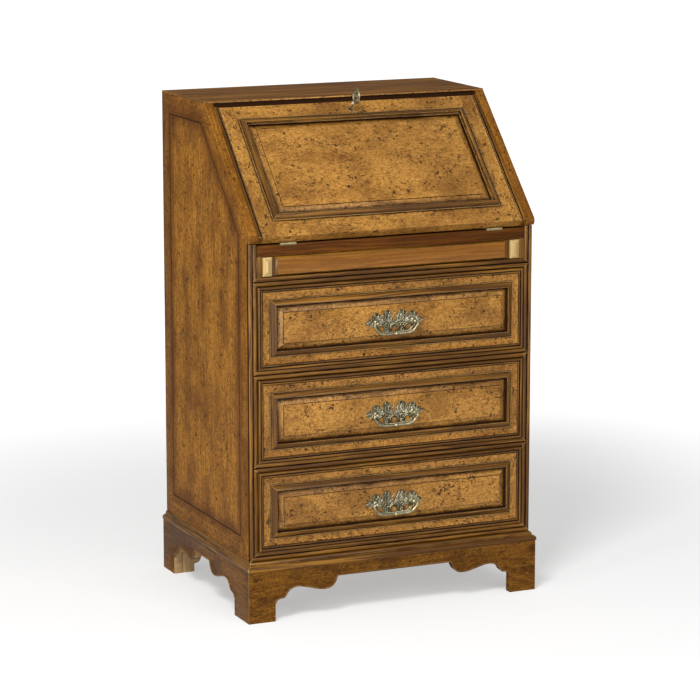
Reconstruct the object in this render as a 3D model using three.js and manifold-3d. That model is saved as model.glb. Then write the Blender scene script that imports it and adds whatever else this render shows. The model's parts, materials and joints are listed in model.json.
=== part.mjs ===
// Slant-front secretary desk: a carcass on a scalloped plinth, three drawers, two pull-out lopers and a
// sloping fall that opens into a writing surface. Millimetres, +Z up, front towards -Y.
// The origin is on the floor at the middle of the whole desk. Inside the desk group a point's depth is
// counted from the back, so y = -depth.

import * as THREE from 'three';
import { mergeVertices } from 'three/addons/utils/BufferGeometryUtils.js';
import Module from 'manifold-3d';

const wasm = await Module();
wasm.setup();

// ---- driving dimensions ----

const carcassWidth = 612;
const carcassDepth = 460;          // back to the crests of the drawer rails
const plinthHeight = 102.7;
const baseMouldingHeight = 18;
const railHeight = 18;             // reeded rail above, between and below the drawers
const drawerOpenings = [165, 166, 159.5];   // top drawer first
const loperRowHeight = 39.5;
const deskThickness = 22;
const slopeRise = 236.2;           // foot of the fall to the top of the desk
const slopeAngle = THREE.MathUtils.degToRad(45);

const gap = 0.3;                   // between pieces that touch
const sideThickness = 18;
const backThickness = 10;
const topThickness = 22;
const topVeneer = 3;               // the sheet of the top that covers the ends of the sides
const beadDepth = 8;               // how thick the reeded strips stand on the carcass edge
const reedCrest = 4;

const baseOverhang = 10;           // base moulding past the sides
const baseFrontOverhang = 13.5;    // and past the drawer rails
const baseFrameWidth = 26;
const plinthThickness = 18;
const plinthSetback = 1.5;
const frontFootWidth = 57;
const rearFootWidth = 62;
const footHeight = 35;             // floor to the spring of the scallop
const archHeight = 67;
const lobeHeight = 55;
const apronHeight = 79;            // floor to the straight middle of the apron
const scallopLength = 134;
const rearScallopLength = 118;
const rearBracketLength = 96;
const rearBracketThickness = 14;
const rearBlockWidth = 27;         // block inside the rear foot
const rearBlockStep = 17;          // floor to the lobe on the block
const rearBlockLobe = 15;

const drawerSideGap = 1.4;         // front to the case, each side
const drawerTopGap = 1.5;
const frontThickness = 17;         // behind the crossband of a drawer front
const edgeWidth = 11;              // edge bead, then crossband, bolection and bevel, outside to inside
const bandWidth = 13.5;
const bolectionWidth = 14.5;
const bevelWidth = 13.5;
const edgeCrest = 3;               // how far each stands out from the crossband
const bolectionCrest = 7;
const fieldRise = 6;
const bandSetback = 1.5;           // crossband behind the crests of the rails
const boxRearSpace = 41;           // back of the desk to a drawer box
const boxWall = 10;
const boxFloor = 6;
const boxHeadroom = 9;

const plateWidth = 124;
const plateHeight = 46;
const plateThickness = 2.4;
const handleDrop = 7;              // handle below the middle of its drawer
const postSpread = 80;             // between the two bail posts
const postReach = 9;               // plate to the middle of the bail
const postRadius = 3.6;
const bailRadius = 2.3;
const bailDrop = 22;
const bailClearance = 0.35;

const loperWidth = 19;
const loperGap = 0.5;
const loperGuideWidth = 11.5;
const loperRearSpace = 65;         // back of the desk to the end of a loper
const loperTip = 4;                // height of the hipped end
const loperHeadroom = 0.9;         // above and below a loper
const friezeBevel = 11;
const friezeRise = 5;

const fallThickness = 22;
const fallSideGap = 1;
const fallTopClearance = 1.5;
const fallEdge = 11;
const fallFrameSide = 29;
const fallFrameTop = 31;
const fallFrameFoot = 37;
const fallBolection = 18;
const fallBevel = 13;
const fallPanelRise = 3;
const topEdgeWidth = 13;           // moulded edge of the top board, along the slope
const leatherMargin = 46;
const leatherThickness = 1.2;

const hingeSpread = 444;           // middle to middle
const hingeWidth = 34;
const hingeLeaf = 2;
const hingeLeafLength = 24;
const knuckleRadius = 3.5;
const pinRadius = 1.4;
const pinClearance = 0.2;
const hingeSetback = 5;            // hinge axis behind the drawer rails
const hingeLift = 0.5;             // hinge axis above the writing board
const fallEndGap = 3.2;            // hinge axis to the foot of the fall

const keyInset = 19;               // keyhole below the top of the fall
const keyShank = 2.6;
const keyholeRadius = 4;
const keyReach = 21.5;             // fall to the bow
const keyTipClearance = 3.5;       // inner face of the fall to the tip of the key
const bitReach = 7.5;
const bitLength = 5;
const chamberRadius = 9;
const bowRadius = 17.5;
const bowWire = 2.6;
const lockWidth = 56;
const lockHeight = 40;
const lockDepth = 12.5;
const boltWidth = 22;
const boltThickness = 4;
const boltTravel = 7;
const boltLength = 13;

const galleryClearance = 26;       // gallery to the closed fall, measured at the top
const galleryBoard = 6;
const galleryDrawerHeight = 58;
const galleryPost = 95;            // middle of the desk to the posts that part the small drawers
const pigeonholes = 3;             // above the shelf
const galleryWall = 6;
const gallerySlack = 0.7;          // beside a small drawer
const galleryKnobRadius = 6;

// ---- levels and places worked out from them ----

const halfWidth = carcassWidth / 2;
const innerHalf = halfWidth - sideThickness;
const insideHalf = innerHalf - gap;
const baseTop = plinthHeight + gap + baseMouldingHeight;
const rails = [];
const drawers = [];
let level = baseTop + gap;
rails.unshift(level);
for (const opening of [...drawerOpenings].reverse()) {
  level += railHeight;
  drawers.unshift({ bottom: level, top: level + opening });
  level += opening;
  rails.unshift(level);
}
const loperFloor = level + railHeight;
const deskBottom = loperFloor + loperRowHeight;
const deskTop = deskBottom + deskThickness;

const slopeCos = Math.cos(slopeAngle);
const slopeSin = Math.sin(slopeAngle);
const hingeDepth = carcassDepth - hingeSetback;
const hingeHeight = deskTop + hingeLift;
const axisOffset = fallThickness + gap;      // hinge axis behind the outer face of the fall
const footDepth = hingeDepth + axisOffset * slopeSin - fallEndGap * slopeCos;
const footLevel = hingeHeight + axisOffset * slopeCos + fallEndGap * slopeSin;
const totalHeight = footLevel + slopeRise;
const topDepth = footDepth - slopeRise / Math.tan(slopeAngle);
const slopeLength = slopeRise / slopeSin;
const fallHeight = slopeLength - topEdgeWidth - fallTopClearance;
const fallHalf = innerHalf - fallSideGap;
const keyPlace = fallHeight - keyInset;      // up the slope from the foot of the fall
const beadBack = carcassDepth - beadDepth;
const boardFront = beadBack - gap;
const baseFront = carcassDepth + baseFrontOverhang;
const baseHalf = halfWidth + baseOverhang;
const bandDepth = carcassDepth - bandSetback;
const galleryFront = topDepth - galleryClearance;
const undersideLevel = totalHeight - topThickness;
const plateDepth = bandDepth + fieldRise + gap;
const totalDepth = plateDepth + plateThickness + postReach + postRadius;

// ---- materials ----

const burl = () => new THREE.MeshStandardMaterial({ color: 0xa9783a, roughness: 0.42, metalness: 0 });
const walnut = () => new THREE.MeshStandardMaterial({ color: 0x6d4520, roughness: 0.45, metalness: 0 });
const oak = () => new THREE.MeshStandardMaterial({ color: 0xb48a55, roughness: 0.6, metalness: 0 });
const brass = () => new THREE.MeshStandardMaterial({ color: 0x8b8160, roughness: 0.38, metalness: 1 });
const leather = () => new THREE.MeshStandardMaterial({ color: 0x3f1d12, roughness: 0.6, metalness: 0 });

const desk = new THREE.Group();
desk.position.y = totalDepth / 2;

const fall = new THREE.Group();              // x across, y up the slope, z out of the fall
fall.position.set(0, -footDepth, footLevel);
fall.rotation.x = slopeAngle;
desk.add(fall);

function addPart(name, geometry, material, parent = desk) {
  const mesh = new THREE.Mesh(geometry, material);
  mesh.name = name;
  parent.add(mesh);
  return mesh;
}

// ---- shapes ----

function shapeOf(points) {
  return new THREE.Shape(points.map(([u, v]) => new THREE.Vector2(u, v)));
}

function extrude(shape, depth, curveSegments = 6) {
  return new THREE.ExtrudeGeometry(shape, { depth, bevelEnabled: false, curveSegments });
}

function placed(geometry, xAxis, yAxis, zAxis, origin) {
  const basis = new THREE.Matrix4().makeBasis(
    new THREE.Vector3(...xAxis),
    new THREE.Vector3(...yAxis),
    new THREE.Vector3(...zAxis),
  );
  return geometry.applyMatrix4(basis.setPosition(...origin));
}

// Outline of [depth, z] points, run along X.
function alongX(points, x0, x1) {
  return placed(extrude(shapeOf(points), x1 - x0), [0, -1, 0], [0, 0, 1], [-1, 0, 0], [x1, 0, 0]);
}

// Outline of [x, depth] points, run up from z0 to z1.
function alongZ(points, z0, z1) {
  return placed(extrude(shapeOf(points), z1 - z0), [1, 0, 0], [0, -1, 0], [0, 0, -1], [0, 0, z1]);
}

// Outline in x and z, run forwards from depth d0 to d1.
function alongDepth(shape, d0, d1, curveSegments = 6) {
  const body = extrude(shape, d1 - d0, curveSegments);
  return placed(body, [1, 0, 0], [0, 0, 1], [0, -1, 0], [0, -d0, 0]);
}

function block(x0, x1, d0, d1, z0, z1) {
  const box = new THREE.BoxGeometry(x1 - x0, d1 - d0, z1 - z0);
  return box.translate((x0 + x1) / 2, -(d0 + d1) / 2, (z0 + z1) / 2);
}

// Box in a flat frame, for the pieces of the fall: y up the slope, z outwards.
function slab(x0, x1, y0, y1, z0, z1) {
  const box = new THREE.BoxGeometry(x1 - x0, y1 - y0, z1 - z0);
  return box.translate((x0 + x1) / 2, (y0 + y1) / 2, (z0 + z1) / 2);
}

// A round bar from x0 to x1 about a line along X.
function barAlongX(radius, x0, x1, y, z, sides = 16) {
  const bar = new THREE.CylinderGeometry(radius, radius, x1 - x0, sides);
  return bar.rotateZ(Math.PI / 2).translate((x0 + x1) / 2, y, z);
}

function toSolid(geometry) {
  const plain = geometry.clone();
  plain.deleteAttribute('normal');
  plain.deleteAttribute('uv');
  const merged = mergeVertices(plain, 1e-4);
  const vertProperties = Float32Array.from(merged.getAttribute('position').array);
  const triVerts = Uint32Array.from(merged.index.array);
  return new wasm.Manifold(new wasm.Mesh({ numProp: 3, vertProperties, triVerts }));
}

function fromSolid(solid) {
  const mesh = solid.getMesh();
  const geometry = new THREE.BufferGeometry();
  geometry.setAttribute('position', new THREE.BufferAttribute(Float32Array.from(mesh.vertProperties), 3));
  geometry.setIndex(Array.from(mesh.triVerts));
  geometry.computeVertexNormals();
  return geometry;
}

function cut(geometry, ...tools) {
  return fromSolid(tools.reduce((solid, tool) => solid.subtract(toSolid(tool)), toSolid(geometry)));
}

function join(geometry, ...others) {
  return fromSolid(others.reduce((solid, other) => solid.add(toSolid(other)), toSolid(geometry)));
}

function common(geometry, other) {
  return fromSolid(toSolid(geometry).intersect(toSolid(other)));
}

// A solid whose level sections are rectangles. Each ring is { x, y, level, cx, cy }: half sizes, height
// and middle. It runs from the middle of the back to the middle of the front, or closes on itself.
function rectangularLoft(rings) {
  const outline = rings.map((ring) => new THREE.Vector2(ring.x > 0 ? 1 : 0, ring.level));
  const loft = new THREE.LatheGeometry(outline, 4, Math.PI / 4);
  const position = loft.getAttribute('position');
  for (let i = 0; i < position.count; i += 1) {
    const { x, y, level: height, cx = 0, cy = 0 } = rings[i % rings.length];
    const sideX = Math.sign(Math.round(position.getX(i) * 2));
    const sideY = Math.sign(Math.round(position.getZ(i) * -2));
    position.setXYZ(i, cx + sideX * x, cy + sideY * y, height);
  }
  return loft;
}

// Turns a loft made flat so that it faces the front, its zero level at the given depth.
function facingFront(geometry, depth, z, x = 0) {
  return geometry.rotateX(Math.PI / 2).translate(x, -depth, z);
}

// Moves the far ends of a moulding along its run, so that it meets its neighbour on a mitre.
function mitred(geometry, isEnd, shift) {
  const position = geometry.getAttribute('position');
  const point = new THREE.Vector3();
  for (let i = 0; i < position.count; i += 1) {
    point.fromBufferAttribute(position, i);
    if (isEnd(point)) {
      shift(point);
      position.setXYZ(i, point.x, point.y, point.z);
    }
  }
  geometry.computeVertexNormals();
  return geometry;
}

function mirroredX(geometry) {
  const copy = geometry.clone().scale(-1, 1, 1);
  const count = copy.getAttribute('position').count;
  const order = copy.index ? Array.from(copy.index.array) : [...Array(count).keys()];
  for (let i = 0; i < order.length; i += 3) {
    [order[i], order[i + 1]] = [order[i + 1], order[i]];
  }
  copy.setIndex(order);
  copy.computeVertexNormals();
  return copy;
}

function addPair(stem, leftGeometry, makeMaterial, parent = desk) {
  addPart(`${stem}_left`, leftGeometry, makeMaterial(), parent);
  addPart(`${stem}_right`, mirroredX(leftGeometry), makeMaterial(), parent);
}

// ---- plinth and base moulding ----

// Lower edge of an apron from one foot to its straight middle: cove, cusp, arch, drooping lobe.
function scallop(path, footX, direction, length) {
  const at = (share) => footX + direction * share * length;
  path.lineTo(footX, footHeight);
  path.quadraticCurveTo(footX, footHeight + 11, at(0.13), footHeight + 11);
  path.lineTo(at(0.16), footHeight + 15);
  path.bezierCurveTo(at(0.2), archHeight - 4, at(0.3), archHeight + 1, at(0.4), archHeight - 1);
  path.bezierCurveTo(at(0.55), archHeight - 4, at(0.66), lobeHeight, at(0.8), lobeHeight);
  path.bezierCurveTo(at(0.93), lobeHeight, at(0.96), archHeight, at(0.98), apronHeight - 3);
  path.lineTo(at(1), apronHeight);
}

// Board on edge with two feet, from u0 to u1; each foot is followed by its own scallop.
function apronShape(u0, u1, [foot0, scallop0], [foot1, scallop1]) {
  const lower = new THREE.Shape();
  lower.moveTo(u0, 0);
  lower.lineTo(u0 + foot0, 0);
  scallop(lower, u0 + foot0, 1, scallop0);
  const mirror = new THREE.Path();
  mirror.moveTo(u1 - foot1, 0);
  scallop(mirror, u1 - foot1, -1, scallop1);
  for (const point of mirror.getPoints(5).reverse()) {
    lower.lineTo(point.x, point.y);
  }
  lower.lineTo(u1, 0);
  lower.lineTo(u1, plinthHeight);
  lower.lineTo(u0, plinthHeight);
  return lower;
}

function addPlinth() {
  const outerHalf = baseHalf - plinthSetback;
  const front = baseFront - plinthSetback;
  const back = front - plinthThickness;
  const frontFoot = [frontFootWidth, scallopLength];
  const frontShape = apronShape(-outerHalf, outerHalf, frontFoot, frontFoot);
  const frontBoard = alongDepth(frontShape, back, front, 5);
  mitred(frontBoard, (p) => Math.abs(p.x) > outerHalf - 1, (p) => {
    p.x = Math.sign(p.x) * (outerHalf - (front + p.y));
  });
  addPart('plinth_front', frontBoard, burl());

  const shape = apronShape(0, front - gap, [rearFootWidth, rearScallopLength],
    [frontFootWidth + plinthThickness + gap, scallopLength]);
  const sideBoard = placed(
    extrude(shape, plinthThickness, 5),
    [0, -1, 0], [0, 0, 1], [-1, 0, 0], [plinthThickness - outerHalf, 0, 0],
  );
  mitred(sideBoard, (p) => p.y < gap - front + 1, (p) => {
    p.y += p.x + outerHalf + gap * 0.5;
  });
  addPair('plinth', sideBoard, burl);
}

// Board across the back of the foot, and a lobed block that fills the foot's inner corner.
function addRearBrackets() {
  const inner = baseHalf - plinthSetback - plinthThickness - gap;
  const foot = rearBlockWidth - inner;
  const reach = rearBracketLength - inner;
  const board = new THREE.Shape();
  board.moveTo(-inner, 0);
  board.lineTo(foot, 0);
  board.quadraticCurveTo(foot, apronHeight * 0.7, reach, apronHeight);
  board.lineTo(reach, plinthHeight);
  board.lineTo(-inner, plinthHeight);

  const lobe = foot + rearBlockLobe;
  const lobeTop = rearBlockStep + rearBlockLobe * 2;
  const blockShape = new THREE.Shape();
  blockShape.moveTo(-inner, 0);
  blockShape.lineTo(foot, 0);
  blockShape.lineTo(foot, rearBlockStep);
  blockShape.quadraticCurveTo(lobe, rearBlockStep, lobe, rearBlockStep + rearBlockLobe);
  blockShape.quadraticCurveTo(lobe, lobeTop, foot, lobeTop);
  blockShape.lineTo(foot, plinthHeight);
  blockShape.lineTo(-inner, plinthHeight);
  const bracket = join(
    alongDepth(board, 1, 1 + rearBracketThickness), alongDepth(blockShape, 1, rearFootWidth - 1),
  );
  addPair('rear_bracket', bracket, oak);
}

// Section of the base moulding: [distance out from the inner edge, z], a torus over a fillet.
function baseSection() {
  const low = plinthHeight + gap;
  const high = low + baseMouldingHeight;
  const out = baseFrameWidth;
  return [
    [0, low], [out - 1, low], [out, low + 1.5], [out, low + 7], [out - 1, low + 9.5], [out - 4, low + 11.5],
    [out - 7, low + 12.5], [out - 7, low + 14.5], [out - 9, high], [0, high],
  ];
}

function addBaseMoulding() {
  const inner = baseFront - baseFrameWidth;
  const section = baseSection().map(([out, z]) => [inner + out, z]);
  const front = alongX(section, -baseHalf, baseHalf);
  mitred(front, () => true, (p) => {
    p.x = Math.sign(p.x) * (baseHalf - (baseFront + p.y));
  });
  addPart('base_moulding_front', front, walnut());

  const innerX = baseHalf - baseFrameWidth;
  const across = baseSection().map(([out, z]) => [-innerX - out, z]);
  const side = placed(
    extrude(shapeOf(across), baseFront), [1, 0, 0], [0, 0, 1], [0, -1, 0], [0, 0, 0],
  );
  mitred(side, (p) => p.y < -1, (p) => {
    p.y = -(baseFront - (baseHalf + p.x) - gap * 1.5);
  });
  addPair('base_moulding', side, walnut);
}

// ---- carcass ----

function addSides() {
  const low = baseTop + gap;
  const nose = footLevel - 13;
  const outline = [
    [0, low], [boardFront, low], [boardFront, nose - 1], [footDepth - 4, nose], [footDepth, footLevel - 8],
    [footDepth, footLevel], [topDepth + topVeneer + gap, totalHeight - topVeneer - gap],
    [0, totalHeight - topVeneer - gap],
  ];
  addPair('side', alongX(outline, -halfWidth, -innerHalf), burl);
}

function addTop() {
  const edgeFoot = slopeLength - topEdgeWidth;
  const edgeDepth = footDepth - edgeFoot * slopeCos;
  const edgeLevel = footLevel + edgeFoot * slopeSin;
  const drop = edgeLevel - undersideLevel;
  const outline = [
    [0, undersideLevel],
    [edgeDepth - drop / Math.tan(slopeAngle), undersideLevel],
    [edgeDepth - 3 * slopeCos, edgeLevel - 3 * slopeSin],
    [topDepth + 4, totalHeight - 7],
    [topDepth + topVeneer, totalHeight - topVeneer],
    [topDepth, totalHeight],
    [0, totalHeight],
  ];
  const sheet = [
    [0, totalHeight - topVeneer], [topDepth + topVeneer, totalHeight - topVeneer],
    [topDepth, totalHeight], [0, totalHeight],
  ];
  const mortise = slab(
    -boltWidth / 2 - 1, boltWidth / 2 + 1, fallHeight - 5, fallHeight + fallTopClearance + boltTravel + 2,
    boltLayer()[0] - 0.8, boltLayer()[1] + 0.8,
  );
  mortise.rotateX(slopeAngle).translate(0, -footDepth, footLevel);
  const board = join(alongX(outline, -insideHalf, insideHalf), alongX(sheet, -halfWidth, halfWidth));
  addPart('top_board', cut(board, mortise), walnut());
}

function addInnerBoards() {
  const front = boardFront;
  const back = backThickness + gap;
  const floor = rails[3];
  const panel = block(-insideHalf, insideHalf, 0, backThickness, floor, undersideLevel - gap);
  addPart('back_panel', panel, oak());
  const bottom = block(-insideHalf, insideHalf, back, front, floor, floor + railHeight - gap);
  addPart('bottom_board', bottom, oak());
  for (let i = 0; i < 3; i += 1) {
    const low = rails[i] + gap;
    const high = rails[i] + railHeight - gap;
    addPart(`dust_board_${i + 1}`, block(-insideHalf, insideHalf, back, front, low, high), oak());
  }
}

function hingePocket(x) {
  const width = hingeWidth / 2 + gap;
  return block(x - width, x + width, hingeDepth - hingeLeafLength - gap, hingeDepth + knuckleRadius + 2,
    deskTop - hingeLeaf - gap, deskTop + 1);
}

function hingeRelief(x) {
  const width = hingeWidth / 2 + gap;
  return barAlongX(knuckleRadius + gap, x - width, x + width, -hingeDepth, hingeHeight);
}

function addDeskBoard() {
  const front = hingeDepth + fallEndGap - gap;
  const board = block(-insideHalf, insideHalf, backThickness + gap, front, deskBottom + gap, deskTop);
  const pockets = [-1, 1].flatMap((side) => {
    const x = (side * hingeSpread) / 2;
    return [hingePocket(x), hingeRelief(x)];
  });
  addPart('desk_board', cut(board, ...pockets), walnut());
}

// Points of two half-round reeds side by side, from u0 to u1.
function reeds(u0, u1, base, crest, count = 2) {
  const pitch = (u1 - u0) / count;
  const steps = 4;
  const points = [[u0, base]];
  for (let i = 0; i < count; i += 1) {
    for (let k = i ? 1 : 0; k <= steps; k += 1) {
      const angle = (k / steps) * Math.PI;
      points.push([u0 + pitch * (i + (1 - Math.cos(angle)) / 2), crest - reedCrest * (1 - Math.sin(angle))]);
    }
  }
  points.push([u1, base]);
  return points;
}

// Front outline of a rail with pointed ends, which enter the notches of the stile beads.
function railOutline(z0, z1, spread) {
  const middle = (z0 + z1) / 2;
  const point = (z1 - z0) / 2;
  return shapeOf([
    [-spread, z0], [spread, z0], [spread + point, middle],
    [spread, z1], [-spread, z1], [-spread - point, middle],
  ]);
}

function addBeads() {
  const inner = innerHalf + gap;
  const far = carcassDepth + 5;
  const bottomLow = rails[3];
  const bottomHigh = bottomLow + railHeight;
  const lowSpread = halfWidth - gap;
  const bottomOutline = shapeOf([
    [-lowSpread, bottomLow], [lowSpread, bottomLow], [inner - gap, bottomHigh], [gap - inner, bottomHigh],
  ]);

  for (let i = 0; i < 4; i += 1) {
    const z0 = rails[i] + (i < 3 ? gap / 2 : 0);
    const z1 = rails[i] + railHeight - gap / 2;
    const run = alongX(reeds(z0, z1, beadBack, carcassDepth).map(([z, d]) => [d, z]).reverse(),
      -halfWidth, halfWidth);
    const outline = i < 3 ? railOutline(z0, z1, inner - gap * 1.5) : bottomOutline;
    addPart(`rail_bead_${i + 1}`, common(run, alongDepth(outline, beadBack - 5, far)), walnut());
  }

  const stile = alongZ(reeds(inner, halfWidth, beadBack, carcassDepth).map(([x, d]) => [-x, d]).reverse(),
    bottomLow, footLevel - 15);
  const notches = rails.slice(0, 3).map((low) => (
    alongDepth(railOutline(low, low + railHeight, inner - gap), beadBack - 5, far)
  ));
  const mitreSlope = railHeight / (halfWidth - inner);   // at the foot of the stile
  const cornerLow = bottomLow - 4 * mitreSlope;
  const corner = alongDepth(shapeOf([
    [-halfWidth - 4, cornerLow], [0, cornerLow], [0, bottomHigh], [-inner, bottomHigh],
  ]), beadBack - 5, far);
  addPair('stile_bead', cut(stile, corner, ...notches), walnut);
}

function addLoperRow() {
  const low = loperFloor + gap;
  const high = deskBottom - gap;
  const guideIn = insideHalf - loperGuideWidth;
  const loperOut = guideIn - loperGap;
  const loperIn = loperOut - loperWidth;
  const friezeHalf = loperIn - loperGap;
  const middle = (low + high) / 2;
  const half = (high - low) / 2;

  addPair('loper_guide', block(-insideHalf, -guideIn, 40, carcassDepth - 1.5, low, high), walnut);

  const panel = rectangularLoft([
    { x: 0, y: 0, level: -20 },
    { x: friezeHalf, y: half, level: -20 },
    { x: friezeHalf, y: half, level: -friezeRise },
    { x: friezeHalf - friezeBevel, y: half - friezeBevel / 3, level: 0 },
    { x: 0, y: 0, level: 0 },
  ]);
  addPart('frieze_panel', facingFront(panel, carcassDepth - 1, middle), burl());

  const barHalf = half - loperHeadroom;
  const loperLength = carcassDepth - loperRearSpace;
  const bar = rectangularLoft([
    { x: 0, y: 0, level: -loperLength },
    { x: loperWidth / 2, y: barHalf, level: -loperLength },
    { x: loperWidth / 2, y: barHalf, level: 0 },
    { x: 0.6, y: barHalf - loperWidth / 2 + 0.6, level: loperTip },
    { x: 0, y: 0, level: loperTip },
  ]);
  addPair('loper', facingFront(bar, carcassDepth, middle, -(loperIn + loperOut) / 2), oak);
}

// ---- drawers ----

// Rings of a moulded front from its back to the middle of its field; level 0 is the crossband.
function moulding(halfX, halfY, thickness) {
  const ring = (inset, height) => ({ x: halfX - inset, y: halfY - inset, level: height });
  const band = edgeWidth;
  const bolection = band + bandWidth;
  const bevel = bolection + bolectionWidth;
  const field = bevel + bevelWidth;
  return [
    { x: 0, y: 0, level: -thickness },
    ring(0, -thickness),
    ring(0, edgeCrest - 2),
    ring(2, edgeCrest),
    ring(band * 0.6, edgeCrest - 0.6),
    ring(band, 0),
    ring(bolection, 0),
    ring(bolection + 1, 2),
    ring(bolection + bolectionWidth * 0.55, bolectionCrest),
    ring(bolection + bolectionWidth * 0.75, bolectionCrest),
    ring(bevel - 1, 1),
    ring(bevel, 0),
    ring(field - 0.5, fieldRise - 1),
    ring(field, fieldRise),
    { x: 0, y: 0, level: fieldRise },
  ];
}

function drawerBox(halfX, back, front, z0, z1) {
  const inner = halfX - boxWall;
  const hollow = block(-inner, inner, back + boxWall, front - boxWall, z0 + boxFloor, z1 + 1);
  return cut(block(-halfX, halfX, back, front, z0, z1), hollow);
}

// Pierced foliate plate: two pairs of leaf crests above a waisted bar with pointed ends.
function plateShape() {
  const w = plateWidth / 2;
  const h = plateHeight / 2;
  const right = [
    [0.0, 0.3], [0.1, 0.45], [0.15, 1.0], [0.36, 0.92], [0.4, 0.55], [0.48, 0.3], [0.52, 0.72], [0.68, 0.8],
    [0.78, 0.56], [0.9, 0.34], [1.0, 0.08], [0.86, -0.04], [0.72, -0.1], [0.62, -0.6], [0.5, -0.98],
    [0.2, -0.9], [0.0, -1.0],
  ];
  const left = right.slice(1, -1).reverse().map(([u, v]) => [-u, v]);
  return shapeOf([...right, ...left].reverse().map(([u, v]) => [u * w, v * h]));
}

// Arched openings of the plate, below its middle.
function plateArches() {
  const w = plateWidth / 2;
  const h = plateHeight / 2;
  const arch = (x, half, low, high) => {
    const hole = new THREE.Shape();
    hole.moveTo(x - half, low);
    hole.lineTo(x + half, low);
    hole.quadraticCurveTo(x + half, high, x, high);
    hole.quadraticCurveTo(x - half, high, x - half, low);
    return hole;
  };
  return [
    arch(-w * 0.46, w * 0.11, -h * 0.72, 0),
    arch(0, w * 0.15, -h * 0.7, -h * 0.1),
    arch(w * 0.46, w * 0.11, -h * 0.72, 0),
  ];
}

function handlePlate(z) {
  const depth = plateDepth;
  const plate = alongDepth(plateShape(), depth, depth + plateThickness).translate(0, 0, z);
  const arches = plateArches().map((arch) => (
    alongDepth(arch, depth - 1, depth + plateThickness + 1, 3).translate(0, 0, z)
  ));
  const postZ = z + plateHeight * 0.05;
  const posts = [-1, 1].map((side) => {
    const x = (side * postSpread) / 2;
    const length = postReach + postRadius + plateThickness / 2;
    const post = new THREE.CylinderGeometry(postRadius, postRadius, length, 12);
    return post.translate(x, -(depth + plateThickness / 2 + length / 2), postZ);
  });
  const axisY = -(depth + plateThickness + postReach);
  const bore = barAlongX(bailRadius + bailClearance, -postSpread, postSpread, axisY, postZ, 12);
  return cut(join(plate, ...posts), bore, ...arches);
}

// Hanging bail with a knop in the middle; its ends run through the posts.
function handleBail(z) {
  const y = -(plateDepth + plateThickness + postReach);
  const postZ = z + plateHeight * 0.05;
  const endX = postSpread / 2 + postRadius + 1.5;
  const at = (x, drop) => new THREE.Vector3(x, y, postZ - drop);
  const points = [at(-postSpread / 2 + postRadius + 1, 0), at(-endX + 2, 0), at(-endX - 1.5, 2.5)];
  const bend = [
    [endX - 0.5, 8], [endX - 5, 16], [endX - 14, bailDrop - 1], [14, bailDrop],
  ];
  points.push(...bend.map(([x, drop]) => at(-x, drop)));
  points.push(...bend.reverse().map(([x, drop]) => at(x, drop)));
  points.push(at(endX + 1.5, 2.5), at(endX - 2, 0), at(postSpread / 2 - postRadius - 1, 0));
  const round = new THREE.Shape();
  round.absarc(0, 0, bailRadius, 0, Math.PI * 2);
  const path = new THREE.CatmullRomCurve3(points, false, 'catmullrom', 0.4);
  const wire = new THREE.ExtrudeGeometry(round, {
    steps: 36, bevelEnabled: false, curveSegments: 4, extrudePath: path,
  });
  const knop = new THREE.SphereGeometry(bailRadius + 1.1, 10, 8).translate(0, y, postZ - bailDrop);
  return join(wire, knop);
}

function addDrawer(number, { bottom, top }) {
  const z0 = bottom + gap;
  const z1 = top - drawerTopGap;
  const middle = (z0 + z1) / 2;
  const frontHalf = innerHalf - drawerSideGap;
  const front = rectangularLoft(moulding(frontHalf, (z1 - z0) / 2, frontThickness));
  addPart(`drawer_${number}_front`, facingFront(front, bandDepth, middle), burl());

  const boxFront = bandDepth - frontThickness - gap;
  const box = drawerBox(frontHalf - 1, boxRearSpace, boxFront, z0, z1 - boxHeadroom);
  addPart(`drawer_${number}_box`, box, oak());

  addPart(`handle_${number}_plate`, handlePlate(middle - handleDrop), brass());
  addPart(`handle_${number}_bail`, handleBail(middle - handleDrop), brass());
}

// ---- fall, lock and hinges ----

function fallOpenings() {
  const top = fallHeight - fallFrameTop;
  const foot = fallFrameFoot;
  const half = fallHalf - fallEdge - fallFrameSide;
  return { half, middle: (top + foot) / 2, rise: (top - foot) / 2 };
}

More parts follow.
